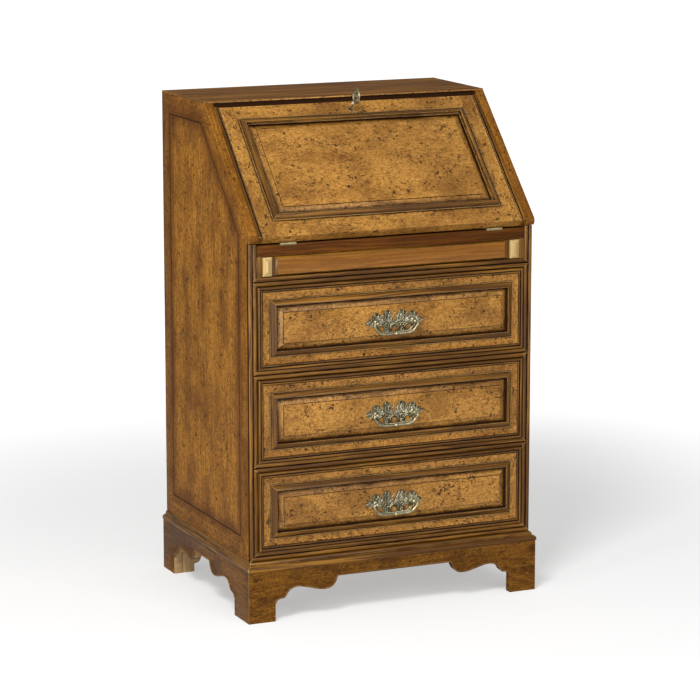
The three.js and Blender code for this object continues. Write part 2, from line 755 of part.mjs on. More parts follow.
function addFall() {
  const { half, middle, rise } = fallOpenings();
  const outerMiddle = fallHeight / 2;
  const outer = (inset, height) => ({
    x: fallHalf - inset, y: outerMiddle - (inset > 1 ? 0.6 : 0), level: height, cy: outerMiddle,
  });
  const inner = (inset, height) => ({ x: half - inset, y: rise - inset, level: height, cy: middle });
  const panel = fallBolection + fallBevel;
  const seat = -5;                       // groove that the bolection moulding lies in
  const board = rectangularLoft([
    { x: 0, y: 0, level: -fallThickness, cy: outerMiddle },
    outer(0, -fallThickness),
    outer(0, -1),
    outer(1.5, 0),
    outer(fallEdge * 0.7, -0.8),
    outer(fallEdge, -2.5),
    inner(-gap, -2.5),
    inner(-gap, seat),
    inner(fallBolection + gap, seat),
    inner(fallBolection + gap, -3),
    inner(panel, fallPanelRise),
    { x: 0, y: 0, level: fallPanelRise, cy: middle },
  ]);
  const keyhole = new THREE.CylinderGeometry(keyholeRadius, keyholeRadius, 40, 16)
    .rotateX(Math.PI / 2).translate(0, keyPlace, -10);
  const lockPocket = slab(-lockWidth / 2 - gap, lockWidth / 2 + gap, keyPlace - lockHeight / 2 - gap,
    fallHeight + 1, -fallThickness - 1, lockDepth + gap - fallThickness);
  const leatherTop = keyPlace - lockHeight / 2 - 12;
  const leatherHalf = fallHalf - leatherMargin;
  const leatherPocket = slab(-leatherHalf - gap, leatherHalf + gap, leatherMargin - gap,
    leatherTop + gap, -fallThickness - 1, leatherThickness + gap - fallThickness);
  const pockets = [-1, 1].flatMap((side) => {
    const x = (side * hingeSpread) / 2;
    const reach = hingeWidth / 2 + gap;
    const leaf = slab(x - reach, x + reach, -1, hingeLeafLength - fallEndGap + gap, -fallThickness - 1,
      hingeLeaf + gap - fallThickness);
    const relief = barAlongX(knuckleRadius + gap * 2, x - reach, x + reach, -fallEndGap, -axisOffset);
    return [leaf, relief];
  });
  addPart('fall_board', cut(board, keyhole, lockPocket, leatherPocket, ...pockets), burl(), fall);

  const lay = seat + gap;
  const trim = rectangularLoft([
    inner(0, lay), inner(0, -1.5), inner(2, 0.5), inner(fallBolection * 0.5, 4.5),
    inner(fallBolection * 0.7, 4.5), inner(fallBolection - 1.5, 0), inner(fallBolection, -2),
    inner(fallBolection, lay), inner(0, lay),
  ]);
  addPart('fall_moulding', trim, walnut(), fall);

  const skin = slab(-leatherHalf, leatherHalf, leatherMargin, leatherTop,
    -fallThickness, leatherThickness - fallThickness);
  addPart('fall_leather', skin, leather(), fall);
}

// Lowest and highest level of the lock bolt inside the fall.
function boltLayer() {
  const high = lockDepth - fallThickness - 2;
  return [high - boltThickness, high];
}

function addLock() {
  const back = -fallThickness;
  const front = lockDepth - fallThickness;
  const [boltLow, boltHigh] = boltLayer();
  const boltFoot = fallHeight - gap - boltLength;
  const shell = slab(-lockWidth / 2, lockWidth / 2, keyPlace - lockHeight / 2, fallHeight, back, front);
  const slot = slab(-boltWidth / 2 - gap, boltWidth / 2 + gap, boltFoot - gap, fallHeight + 1,
    boltLow - gap, boltHigh + gap);
  const chamber = new THREE.CylinderGeometry(chamberRadius, chamberRadius, front - back - 4, 20)
    .rotateX(Math.PI / 2).translate(0, keyPlace, (front + back) / 2);
  const hole = new THREE.CylinderGeometry(keyholeRadius, keyholeRadius, 20, 16)
    .rotateX(Math.PI / 2).translate(0, keyPlace, front);
  addPart('lock_case', cut(shell, slot, chamber, hole), brass(), fall);
  addPart('lock_bolt', slab(-boltWidth / 2, boltWidth / 2, boltFoot, fallHeight - gap, boltLow, boltHigh),
    brass(), fall);
}

// Key with a barred ring bow standing square to the fall, its bit in the lock's chamber.
function addKey() {
  const tip = keyTipClearance - fallThickness;
  const bowFoot = keyReach;
  const shank = new THREE.CylinderGeometry(keyShank, keyShank, bowFoot - tip + 2, 14)
    .rotateX(Math.PI / 2).translate(0, keyPlace, (bowFoot + tip + 2) / 2);
  const collar = new THREE.CylinderGeometry(keyShank + 1.8, keyShank + 1.8, 3, 14)
    .rotateX(Math.PI / 2).translate(0, keyPlace, bowFoot - 3);
  const bit = slab(-1, 1, keyPlace - bitReach, keyPlace, tip, tip + bitLength);
  const bow = new THREE.TorusGeometry(bowRadius - bowWire, bowWire, 8, 20)
    .rotateY(Math.PI / 2).translate(0, keyPlace, bowFoot + bowRadius - 1);
  const bars = [0, 1].map((turn) => slab(-bowWire / 2, bowWire / 2, -bowRadius + bowWire, bowRadius - bowWire,
    -1.3, 1.3).rotateX((turn * Math.PI) / 2).translate(0, keyPlace, bowFoot + bowRadius - 1));
  addPart('key', join(shank, collar, bit, bow, ...bars), brass(), fall);
}

// Butt hinge let into the writing board and the foot of the fall; the pin is fast in the fixed leaf.
function addHinges() {
  const third = hingeWidth / 3;
  for (const [side, label] of [[-1, 'left'], [1, 'right']]) {
    const x0 = (side * hingeSpread) / 2 - hingeWidth / 2;
    const x1 = x0 + hingeWidth;
    const y = -hingeDepth;
    const z = hingeHeight;
    const leaf = block(x0, x1, hingeDepth - hingeLeafLength, hingeDepth - knuckleRadius / 2,
      deskTop - hingeLeaf, deskTop);
    const middleGap = barAlongX(knuckleRadius + gap, x0 + third - gap, x1 - third + gap, y, z);
    const rolls = barAlongX(knuckleRadius, x0, x1, y, z);
    const pin = barAlongX(pinRadius, x0 + 1, x1 - 1, y, z, 12);
    addPart(`hinge_fixed_${label}`, join(cut(join(leaf, rolls), middleGap), pin), brass());

    const roll = barAlongX(knuckleRadius, x0 + third, x1 - third, -fallEndGap, -axisOffset);
    const flap = slab(x0, x1, gap, hingeLeafLength - fallEndGap, -fallThickness, hingeLeaf - fallThickness);
    const neck = slab(x0 + third, x1 - third, -fallEndGap, gap + 1,
      -fallThickness, hingeLeaf - fallThickness);
    const bore = barAlongX(pinRadius + pinClearance, x0, x1, -fallEndGap, -axisOffset, 12);
    addPart(`hinge_moving_${label}`, cut(join(flap, neck, roll), bore), brass(), fall);
  }
}

// ---- writing interior ----

function addGallery() {
  const back = backThickness + gap;
  const floor = deskTop + gap;
  const shelfLow = floor + galleryDrawerHeight + gap;
  const shelfTop = shelfLow + galleryBoard;
  addPart('gallery_shelf', block(-insideHalf, insideHalf, back, galleryFront, shelfLow, shelfTop), walnut());

  const post = block(-galleryPost - galleryBoard, -galleryPost, back, galleryFront, floor, shelfLow - gap);
  addPair('gallery_post', post, walnut);

  const dividerX = insideHalf / pigeonholes;
  const high = undersideLevel - gap;
  const waist = (shelfTop + high) / 2;
  const outline = new THREE.Shape();
  outline.moveTo(back, shelfTop + gap);
  outline.lineTo(galleryFront, shelfTop + gap);
  outline.quadraticCurveTo(galleryFront - 40, waist - 30, galleryFront - 18, waist + 20);
  outline.quadraticCurveTo(galleryFront, high - 10, galleryFront, high);
  outline.lineTo(back, high);
  const divider = placed(extrude(outline, galleryBoard, 6), [0, -1, 0], [0, 0, 1], [-1, 0, 0],
    [galleryBoard / 2 - dividerX, 0, 0]);
  addPair('gallery_divider', divider, walnut);

  const outer = insideHalf - gallerySlack;
  const inner = galleryPost + galleryBoard + gallerySlack;
  const middle = (outer + inner) / 2;
  const low = floor + gap;
  const top = shelfLow - 1;
  const tray = block(-outer, -inner, back + 2, galleryFront, low, top);
  const hollow = block(-outer + galleryWall, -inner - galleryWall, back + 2 + galleryWall,
    galleryFront - galleryWall - 4, low + 4, top + 1);
  addPair('gallery_drawer', cut(tray, hollow), walnut);

  const knobOutline = [
    [0, 0], [3, 0], [2.4, 4], [galleryKnobRadius, 8], [galleryKnobRadius * 0.8, 11.5], [0, 13],
  ].map(([r, h]) => new THREE.Vector2(r, h));
  const knob = new THREE.LatheGeometry(knobOutline, 16)
    .rotateX(Math.PI).translate(-middle, -(galleryFront + gap), (low + top) / 2);
  addPair('gallery_knob', knob, brass);
}

addPlinth();
addRearBrackets();
addBaseMoulding();
addSides();
addTop();
addInnerBoards();
addDeskBoard();
addBeads();
addLoperRow();
drawers.forEach((place, i) => addDrawer(i + 1, place));
addFall();
addLock();
addKey();
addHinges();
addGallery();

export default desk;
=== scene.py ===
# Looks of a slant-front secretary desk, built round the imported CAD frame. Metres, +Z up, front towards -Y.
import math

import bmesh
import bpy
from mathutils import Matrix, Vector
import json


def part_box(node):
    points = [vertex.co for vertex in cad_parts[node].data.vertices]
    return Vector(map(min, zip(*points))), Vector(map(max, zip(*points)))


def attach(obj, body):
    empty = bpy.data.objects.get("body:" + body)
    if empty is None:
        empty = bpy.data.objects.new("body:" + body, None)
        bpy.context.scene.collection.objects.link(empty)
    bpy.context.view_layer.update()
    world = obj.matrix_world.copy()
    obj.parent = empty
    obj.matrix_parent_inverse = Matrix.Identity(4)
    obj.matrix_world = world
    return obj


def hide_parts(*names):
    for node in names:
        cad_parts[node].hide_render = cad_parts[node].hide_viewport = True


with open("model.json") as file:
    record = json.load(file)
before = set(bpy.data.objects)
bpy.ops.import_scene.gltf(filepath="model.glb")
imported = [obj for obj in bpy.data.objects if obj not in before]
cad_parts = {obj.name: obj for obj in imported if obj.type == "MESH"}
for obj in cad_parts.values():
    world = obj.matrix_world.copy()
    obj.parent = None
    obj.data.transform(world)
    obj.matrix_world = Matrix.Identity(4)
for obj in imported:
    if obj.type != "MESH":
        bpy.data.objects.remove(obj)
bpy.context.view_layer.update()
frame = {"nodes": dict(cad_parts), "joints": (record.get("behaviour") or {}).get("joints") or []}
print("stage: frame loaded")

mm = 0.001
right = Vector((1, 0, 0))
up = Vector((0, 0, 1))
back = Vector((0, 1, 0))
front = -back
tipForward = Matrix.Rotation(math.pi / 2, 4, "X")  # what stood up points to the front
layAcross = Matrix.Rotation(math.pi / 2, 4, "Y")
faceDown = Matrix.Rotation(math.pi, 4, "Y")
standSideways = Matrix(((0, 0, -1), (-1, 0, 0), (0, 1, 0))).to_4x4()  # a flat board becomes a side
jointPlaces = {joint["name"]: Vector(joint["pos_m"]) for joint in frame["joints"] if "pos_m" in joint}
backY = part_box("back_panel")[1].y
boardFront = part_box("bottom_board")[0].y

# The fall has its own space: x across, y up the slope, z out of the fall, the origin at its foot.
slopeAngle = math.radians(45)
fallThickness = 22 * mm
axisUp, axisBehind = 3.2 * mm, 22.3 * mm  # the hinge axis from the foot of the fall
alongSlope = Vector((0, math.cos(slopeAngle), math.sin(slopeAngle)))
outOfSlope = Vector((0, -math.sin(slopeAngle), math.cos(slopeAngle)))
fallFoot = jointPlaces["fall_hinge"] + alongSlope * axisUp + outOfSlope * axisBehind
fallSpace = Matrix.Translation(fallFoot) @ Matrix.Rotation(slopeAngle, 4, "X")
keyPlace = (jointPlaces["key_turn"] - fallFoot).dot(alongSlope)
fallHeight = keyPlace + 19 * mm
hingeX = 222 * mm


def node(tree, kind, inputs=None, **settings):
    made = tree.nodes.new("ShaderNode" + kind)
    for key, value in settings.items():
        setattr(made, key, value)
    for key, value in (inputs or {}).items():
        if isinstance(value, bpy.types.NodeSocket):
            tree.links.new(value, made.inputs[key])
        else:
            made.inputs[key].default_value = value
    return made


def calc(tree, operation, a, b=0.5, clamp=False):
    return node(tree, "Math", {0: a, 1: b}, operation=operation, use_clamp=clamp).outputs[0]


def times(tree, a, b, clamp=False):
    return calc(tree, "MULTIPLY", a, b, clamp)


def spread(tree, value, low, high, outLow=0.0, outHigh=1.0):
    settings = {"Value": value, "From Min": low, "From Max": high, "To Min": outLow, "To Max": outHigh}
    return node(tree, "MapRange", settings, interpolation_type="SMOOTHSTEP").outputs[0]


def mixed(tree, factor, a, b):
    return node(tree, "Mix", {0: factor, 6: a, 7: b}, data_type="RGBA").outputs[2]


# Lays colours over each other: each layer is (mask, strength, colour).
def layered(tree, colour, layers):
    for mask, strength, over in layers:
        colour = mixed(tree, times(tree, mask, strength), colour, over)
    return colour


def vectorMath(tree, operation, a, b=None):
    inputs = {0: a} if b is None else {0: a, 1: b}
    return node(tree, "VectorMath", inputs, operation=operation).outputs


def noiseAt(tree, place, scale, detail=3.0, rough=0.5, distort=0.0):
    stretched = vectorMath(tree, "MULTIPLY", place, scale)[0]
    settings = {"Vector": stretched, "Scale": 1.0, "Detail": detail, "Roughness": rough, "Distortion": distort}
    return node(tree, "TexNoise", settings).outputs[0]


def grainPlace(tree):
    return node(tree, "Attribute", attribute_name="grain").outputs["Vector"]


def objectPlace(tree):
    return node(tree, "TexCoord").outputs["Object"]


def newGroup(name, inputs, outputs):
    tree = bpy.data.node_groups.new(name, "ShaderNodeTree")
    for title, value in inputs.items():
        kind = "NodeSocketVector" if value is None else "NodeSocketFloat"
        socket = tree.interface.new_socket(name=title, in_out="INPUT", socket_type=kind)
        if value is not None:
            socket.default_value = value
    for title in outputs:
        tree.interface.new_socket(name=title, in_out="OUTPUT", socket_type="NodeSocketFloat")
    return tree, tree.nodes.new("NodeGroupInput").outputs, tree.nodes.new("NodeGroupOutput").inputs


def straightGrainGroup():
    tree, given, out = newGroup("straightGrain", {"Place": None}, ["Streak", "Pores", "Broad"])
    place = given["Place"]
    bend = noiseAt(tree, place, (3, 9, 9), 2)
    push = node(tree, "VectorMath", {0: (0, 0.02, 0.02), "Scale": bend}, operation="SCALE").outputs[0]
    curved = vectorMath(tree, "ADD", place, push)[0]
    streak = noiseAt(tree, curved, (7, 260, 260), 5, 0.62)
    pores = noiseAt(tree, curved, (70, 1500, 1500), 2, 0.6)
    tree.links.new(spread(tree, streak, 0.34, 0.66), out["Streak"])
    tree.links.new(spread(tree, pores, 0.6, 0.72), out["Pores"])
    tree.links.new(spread(tree, noiseAt(tree, curved, (3, 40, 40), 3), 0.35, 0.65), out["Broad"])
    return tree


def burlFigureGroup():
    outputs = ["Cloud", "Mottle", "Speck", "Crack", "Eye"]
    tree, given, out = newGroup("burlFigure", {"Place": None, "Amount": 1.0}, outputs)
    place = given["Place"]
    warp = node(tree, "TexNoise", {"Vector": place, "Scale": 55.0, "Detail": 3.0}).outputs[1]
    push = vectorMath(tree, "SUBTRACT", warp, (0.5, 0.5, 0.5))[0]
    small = node(tree, "VectorMath", {0: push, "Scale": 0.012}, operation="SCALE").outputs[0]
    warped = vectorMath(tree, "ADD", place, small)[0]

    cloud = noiseAt(tree, warped, (9, 16, 16), 5, 0.6)
    tree.links.new(spread(tree, cloud, 0.4, 0.68), out["Cloud"])
    mottle = noiseAt(tree, warped, (170, 280, 280), 4, 0.7, 0.6)
    tree.links.new(spread(tree, mottle, 0.34, 0.64), out["Mottle"])

    # Flecks gather in clusters: small ragged pits, short curled cracks and a few ringed eyes.
    cluster = noiseAt(tree, place, (20, 30, 30), 3, 0.6)
    gathered = spread(tree, cluster, 0.42, 0.6, 0.12, 1.15)
    amount = times(tree, gathered, given["Amount"])
    pits = spread(tree, noiseAt(tree, warped, (95, 140, 140), 3, 0.6, 1.0), 0.6, 0.63)
    tree.links.new(times(tree, pits, amount, True), out["Speck"])

    swirl = noiseAt(tree, warped, (55, 85, 85), 2, 0.5, 1.0)
    ridge = calc(tree, "ABSOLUTE", calc(tree, "SUBTRACT", swirl, 0.5))
    broken = spread(tree, noiseAt(tree, place, (85, 85, 85), 2), 0.52, 0.58)
    line = times(tree, spread(tree, ridge, 0.03, 0.014), broken)
    line = times(tree, line, spread(tree, cluster, 0.4, 0.5))
    tree.links.new(times(tree, line, given["Amount"], True), out["Crack"])

    eye = node(tree, "TexVoronoi", {"Vector": warped, "Scale": 30.0, "Randomness": 1.0}).outputs[0]
    ring = times(tree, spread(tree, eye, 0.28, 0.06), spread(tree, cluster, 0.52, 0.7))
    tree.links.new(ring, out["Eye"])
    return tree


# Where polish darkens in hollows and wears off edges; the hollow darkening, found by ambient occlusion, is also
# painted shade, and the edge lightening is also a painted highlight.
def agedFinishAndPaintedLightGroup():
    inputs = {"Hollow size": 0.008, "Edge size": 0.0012}
    tree, given, out = newGroup("agedFinishAndPaintedLight", inputs, ["Hollow", "Edge"])
    # Ambient occlusion marks the hollows: their darkening is painted shade as well as gathered polish or patina.
    around = node(tree, "AmbientOcclusion", {"Distance": given["Hollow size"]}, samples=8, only_local=True)
    patches = noiseAt(tree, grainPlace(tree), (25, 120, 120), 3, 0.6)
    uneven = times(tree, calc(tree, "SUBTRACT", patches, 0.5), 0.7)
    shut = calc(tree, "ADD", around.outputs["AO"], uneven)
    tree.links.new(spread(tree, shut, 0.97, 0.55), out["Hollow"])
    # Edges found by a rounded normal are lightened: wear, and a painted highlight along the crests.
    rounded = node(tree, "Bevel", {"Radius": given["Edge size"]}, samples=4).outputs[0]
    plain = node(tree, "NewGeometry").outputs["Normal"]
    same = vectorMath(tree, "DOT_PRODUCT", rounded, plain)["Value"]
    tree.links.new(spread(tree, same, 0.985, 0.85), out["Edge"])
    return tree


# Darkens a board softly on both sides of its inlaid border line.
def borderShadeGroup():
    tree, given, out = newGroup("borderShade", {"Low": None, "High": None, "Slope": 0.0}, ["Near"])
    place = objectPlace(tree)
    fromLow = vectorMath(tree, "SUBTRACT", place, given["Low"])[0]
    toHigh = vectorMath(tree, "SUBTRACT", given["High"], place)[0]
    least = vectorMath(tree, "MINIMUM", fromLow, toHigh)[0]
    parts = node(tree, "SeparateXYZ", {0: least}).outputs
    diagonal = vectorMath(tree, "DOT_PRODUCT", place, (0, -math.sqrt(0.5), math.sqrt(0.5)))["Value"]
    slope = calc(tree, "SUBTRACT", given["Slope"], diagonal)
    inside = calc(tree, "MINIMUM", calc(tree, "MINIMUM", parts["Y"], parts["Z"]), slope)
    uneven = times(tree, noiseAt(tree, place, (20, 20, 20), 3), 0.02)
    reach = calc(tree, "ADD", calc(tree, "ABSOLUTE", inside), uneven)
    within = spread(tree, reach, 0.045, 0.008)
    beyond = spread(tree, inside, 0.004, -0.004, 0.0, 0.45)
    tree.links.new(calc(tree, "MAXIMUM", within, beyond), out["Near"])
    return tree


straightGrain = straightGrainGroup()
borderShade = borderShadeGroup()
burlFigure = burlFigureGroup()
agedFinishAndPaintedLight = agedFinishAndPaintedLightGroup()


# Colours are given as three numbers; a value that every wood may leave out has a default here.
def newMaterial(name, constants, given):
    material = bpy.data.materials.new(name)
    material.use_nodes = True
    tree = material.node_tree
    surface = tree.nodes["Principled BSDF"].inputs
    for key, value in constants.items():
        surface[key].default_value = value
    values = {"broad": 0.5, "coat": 0.0, "eyes": 0.55, "cracks": 0.9, "pits": 0.85, "nearBorder": 0.72,
              "pores": 0.6, "rubbed": 0.7}
    for key, value in given.items():
        values[key] = (*value, 1.0) if isinstance(value, tuple) else value
    return material, tree, surface, values


def grouped(tree, group, inputs):
    made = tree.nodes.new("ShaderNodeGroup")
    made.node_tree = group
    for key, value in inputs.items():
        if isinstance(value, bpy.types.NodeSocket):
            tree.links.new(value, made.inputs[key])
        else:
            made.inputs[key].default_value = value
    return made.outputs


def bumped(tree, surface, height, strength, distance):
    bump = node(tree, "Bump", {"Height": height, "Strength": strength, "Distance": distance})
    tree.links.new(bump.outputs[0], surface["Normal"])


def burlMaterial(name, **given):
    constants = {"Specular IOR Level": 0.08, "Coat Roughness": 0.2}
    material, tree, surface, values = newMaterial(name, constants, given)
    place = grainPlace(tree)
    figure = grouped(tree, burlFigure, {"Place": place, "Amount": values["flecks"]})
    grain = grouped(tree, straightGrain, {"Place": place})
    ageAndPaintedLight = grouped(tree, agedFinishAndPaintedLight, {"Hollow size": values["hollow"]})
    colour = mixed(tree, figure["Mottle"], values["shade"], values["light"])
    layers = [
        (grain["Streak"], values["streak"], values["shade"]),
        (figure["Cloud"], values["cloudy"], values["cloud"]),
        (figure["Eye"], values["eyes"], values["cloud"]),
        (figure["Crack"], values["cracks"], values["fleck"]),
        (figure["Speck"], values["pits"], values["fleck"]),
    ]
    if "border" in values:
        near = grouped(tree, borderShade, values["border"])["Near"]
        layers.append((near, values["nearBorder"], values["borderShade"]))
    # Edges are lightened (wear and a painted highlight) and hollows darkened (old polish and painted shade).
    layers += [(ageAndPaintedLight["Edge"], values["worn"], values["edge"]), (ageAndPaintedLight["Hollow"], values["glaze"], values["dark"])]
    tree.links.new(layered(tree, colour, layers), surface["Base Color"])
    tree.links.new(spread(tree, figure["Mottle"], 0, 1, values["rough"] + 0.05, values["rough"] - 0.04),
                   surface["Roughness"])
    tree.links.new(spread(tree, ageAndPaintedLight["Hollow"], 0, 1, values["coat"], 0.0), surface["Coat Weight"])
    pits = calc(tree, "MAXIMUM", figure["Speck"], figure["Crack"])
    height = calc(tree, "SUBTRACT", times(tree, figure["Mottle"], 0.25), pits)
    bumped(tree, surface, height, 0.35, 0.0003)
    return material


def grainMaterial(name, **given):
    constants = {"Specular IOR Level": 0.1, "Coat Roughness": 0.2}
    material, tree, surface, values = newMaterial(name, constants, given)
    grain = grouped(tree, straightGrain, {"Place": grainPlace(tree)})
    ageAndPaintedLight = grouped(tree, agedFinishAndPaintedLight, {"Hollow size": values["hollow"]})
    colour = mixed(tree, grain["Streak"], values["shade"], values["light"])
    # Edges are lightened (wear and a painted highlight) and hollows darkened (old polish and painted shade).
    layers = [
        (grain["Broad"], values["broad"], values["shade"]),
        (grain["Pores"], values["pores"], values["dark"]),
        (ageAndPaintedLight["Edge"], values["worn"], values["edge"]),
        (ageAndPaintedLight["Hollow"], values["glaze"], values["dark"]),
    ]
    tree.links.new(layered(tree, colour, layers), surface["Base Color"])
    tree.links.new(spread(tree, grain["Streak"], 0, 1, values["rough"] + 0.07, values["rough"] - 0.03),
                   surface["Roughness"])
    if values["coat"]:
        tree.links.new(spread(tree, ageAndPaintedLight["Hollow"], 0, 1, values["coat"], 0.0), surface["Coat Weight"])
    height = calc(tree, "SUBTRACT", grain["Streak"], grain["Pores"])
    bumped(tree, surface, height, 0.3, 0.00015)
    return material


def castMetalMaterial(name, **given):
    material, tree, surface, values = newMaterial(name, {"Metallic": 1.0}, given)
    place = objectPlace(tree)
    ageAndPaintedLight = grouped(tree, agedFinishAndPaintedLight, {"Hollow size": values["hollow"], "Edge size": 0.0006})
    patch = noiseAt(tree, place, (160, 160, 160), 4, 0.6)
    grit = noiseAt(tree, place, (1100, 1100, 1100), 3, 0.6)
    colour = mixed(tree, spread(tree, patch, 0.35, 0.65), values["shade"], values["light"])
    # Edges are lightened (rubbed brass and a painted highlight) and hollows darkened (patina and painted shade).
    layers = [(ageAndPaintedLight["Edge"], values["rubbed"], values["edge"]), (ageAndPaintedLight["Hollow"], values["glaze"], values["dark"])]
    tree.links.new(layered(tree, colour, layers), surface["Base Color"])
    rough = calc(tree, "ADD", times(tree, patch, 0.25), values["rough"])
    rough = calc(tree, "ADD", rough, times(tree, ageAndPaintedLight["Hollow"], 0.25), True)
    tree.links.new(rough, surface["Roughness"])
    bumped(tree, surface, grit, 0.25, 0.0001)
    return material


def leatherMaterial(name, **given):
    material, tree, surface, values = newMaterial(name, {"Specular IOR Level": 0.45}, given)
    place = objectPlace(tree)
    cells = node(tree, "TexVoronoi", {"Vector": place, "Scale": 900.0}, feature="DISTANCE_TO_EDGE").outputs[0]
    pebble = spread(tree, cells, 0.0, 0.16)
    rubbed = spread(tree, noiseAt(tree, place, (14, 14, 14), 4), 0.42, 0.68)
    colour = mixed(tree, rubbed, values["shade"], values["light"])
    colour = mixed(tree, pebble, values["dark"], colour)
    tree.links.new(colour, surface["Base Color"])
    tree.links.new(spread(tree, rubbed, 0, 1, 0.58, 0.4), surface["Roughness"])
    bumped(tree, surface, pebble, 0.5, 0.0002)
    return material


honeyBurl = burlMaterial("honey burl",
    light=(0.54, 0.27, 0.056), shade=(0.235, 0.096, 0.013), cloud=(0.12, 0.040, 0.005),
    fleck=(0.022, 0.006, 0.001), dark=(0.03, 0.009, 0.001), edge=(0.60, 0.36, 0.11), flecks=1.1, cloudy=0.6,
    streak=0.2, hollow=0.028, glaze=0.92, worn=0.4, rough=0.44, coat=0.5)
bandBurl = burlMaterial("crossband burl",
    light=(0.52, 0.25, 0.050), shade=(0.20, 0.08, 0.012), cloud=(0.10, 0.033, 0.004),
    fleck=(0.022, 0.006, 0.001), dark=(0.015, 0.005, 0.001), edge=(0.60, 0.36, 0.11), flecks=1.3, cloudy=0.5,
    streak=0.3, hollow=0.016, glaze=1.0, worn=0.4, rough=0.44, coat=0.45)
plinthBurl = burlMaterial("plinth burl",
    light=(0.28, 0.118, 0.012), shade=(0.095, 0.034, 0.003), cloud=(0.04, 0.012, 0.002),
    fleck=(0.01, 0.003, 0.001), dark=(0.01, 0.003, 0.001), edge=(0.46, 0.28, 0.10), flecks=0.7, cloudy=0.75,
    streak=0.7, hollow=0.022, glaze=0.9, worn=0.6, rough=0.42, coat=0.1)
brownWood = grainMaterial("brown grain",
    light=(0.30, 0.132, 0.014), shade=(0.066, 0.023, 0.002), dark=(0.012, 0.003, 0.001),
    edge=(0.66, 0.44, 0.17), hollow=0.014, glaze=1.0, worn=0.9, rough=0.34, coat=0.48, broad=0.8)
topWood = grainMaterial("top grain",
    light=(0.37, 0.155, 0.012), shade=(0.09, 0.030, 0.003), dark=(0.012, 0.004, 0.001),
    edge=(0.56, 0.36, 0.13), hollow=0.008, glaze=1.0, worn=0.8, rough=0.5, broad=0.75)
# The desk board's wood is much darker than the other walnut: painted shade under the overhanging fall.
deskBoardShadedWood = grainMaterial("desk board grain in painted shade",
    light=(0.135, 0.043, 0.004), shade=(0.055, 0.016, 0.002), dark=(0.01, 0.003, 0.001),
    edge=(0.34, 0.18, 0.06), hollow=0.008, glaze=0.9, worn=0.4, rough=0.45)
# Dark line wood: the inlaid border line on the sides, and elsewhere painted shade in quirks, reed flanks and
# coves.
inlayLineAndShadeWood = grainMaterial("dark inlay line and painted shade",
    light=(0.03, 0.010, 0.002), shade=(0.02, 0.006, 0.001), dark=(0.01, 0.003, 0.001),
    edge=(0.08, 0.03, 0.008), hollow=0.003, glaze=0.9, worn=0.2, rough=0.6)
loperWood = grainMaterial("loper grain",
    light=(0.60, 0.43, 0.19), shade=(0.40, 0.25, 0.085), dark=(0.05, 0.02, 0.006), edge=(0.6, 0.45, 0.25),
    hollow=0.005, glaze=0.6, worn=0.6, rough=0.42, coat=0.1)
plainWood = grainMaterial("plain inside wood",
    light=(0.46, 0.30, 0.145), shade=(0.33, 0.20, 0.09), dark=(0.12, 0.06, 0.025), edge=(0.52, 0.37, 0.2),
    hollow=0.008, glaze=0.55, worn=0.4, rough=0.6)
antiqueBrass = castMetalMaterial("antique brass",
    light=(0.62, 0.56, 0.36), shade=(0.34, 0.29, 0.15), edge=(0.95, 0.90, 0.70), dark=(0.012, 0.009, 0.004),
    hollow=0.0024, glaze=0.97, rough=0.2)
darkBrass = castMetalMaterial("brass ground",
    light=(0.17, 0.14, 0.075), shade=(0.06, 0.045, 0.02), edge=(0.62, 0.55, 0.34),
    dark=(0.008, 0.006, 0.003), hollow=0.002, glaze=0.9, rough=0.4)
hingeBrass = castMetalMaterial("hinge brass",
    light=(0.55, 0.47, 0.26), shade=(0.4, 0.32, 0.15), edge=(0.8, 0.72, 0.48), dark=(0.06, 0.045, 0.02),
    hollow=0.002, glaze=0.8, rough=0.25)
deskLeather = leatherMaterial("writing leather",
    light=(0.15, 0.05, 0.024), shade=(0.085, 0.027, 0.014), dark=(0.03, 0.009, 0.006))
print("stage: materials made")


grainSteps = Vector((0.61, 0.37, 0.53))
pieceCount = 0


# Writes a coordinate along each face's longest edge, so that grain turns at every mitre.
def layGrain(mesh, offset):
    attribute = mesh.attributes.new("grain", "FLOAT_VECTOR", "CORNER")
    for face in mesh.polygons:
        corners = [mesh.vertices[i].co for i in face.vertices]
        edges = [b - a for a, b in zip(corners, corners[1:] + corners[:1])]
        along = max(edges, key=lambda edge: edge.length).normalized()
        along = Vector([round(part, 2) for part in along])
        if sum(along) < 0:
            along.negate()
        side = along.cross(up if abs(along.z) < 0.9 else right).normalized()
        other = along.cross(side)
        for corner in face.loop_indices:
            place = mesh.vertices[mesh.loops[corner].vertex_index].co
            attribute.data[corner].vector = Vector((place.dot(along), place.dot(side), place.dot(other))) + offset


def newObject(name, data):
    made = bpy.data.objects.new(name, data)
    bpy.context.scene.collection.objects.link(made)
    return made


def meshOf(bm, name):
    mesh = bpy.data.meshes.new(name)
    bm.to_mesh(mesh)
    bm.free()
    return mesh


def addPiece(name, bm, body, slotName, materials, replaced=(), sharp=32, place=None):
    global pieceCount
    if place is not None:
        bm.transform(place)
    mesh = meshOf(bm, name)
    for material in materials:
        mesh.materials.append(material)
    creased = [edge.use_edge_sharp for edge in mesh.edges]
    mesh.shade_smooth()
    mesh.set_sharp_from_angle(angle=math.radians(sharp))
    for edge, crease in zip(mesh.edges, creased):
        if crease:
            edge.use_edge_sharp = True
    pieceCount += 1
    layGrain(mesh, grainSteps * pieceCount)
    piece = newObject(name, mesh)
    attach(piece, body)
    if replaced:
        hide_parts(*replaced)


# A piece that stands for one CAD node and is named after it.
def cover(nodeName, suffix, bm, slotName, materials, body="carcass", sharp=32, place=None):
    addPiece(f"{nodeName}_{suffix}", bm, body, slotName, materials, [nodeName], sharp, place)


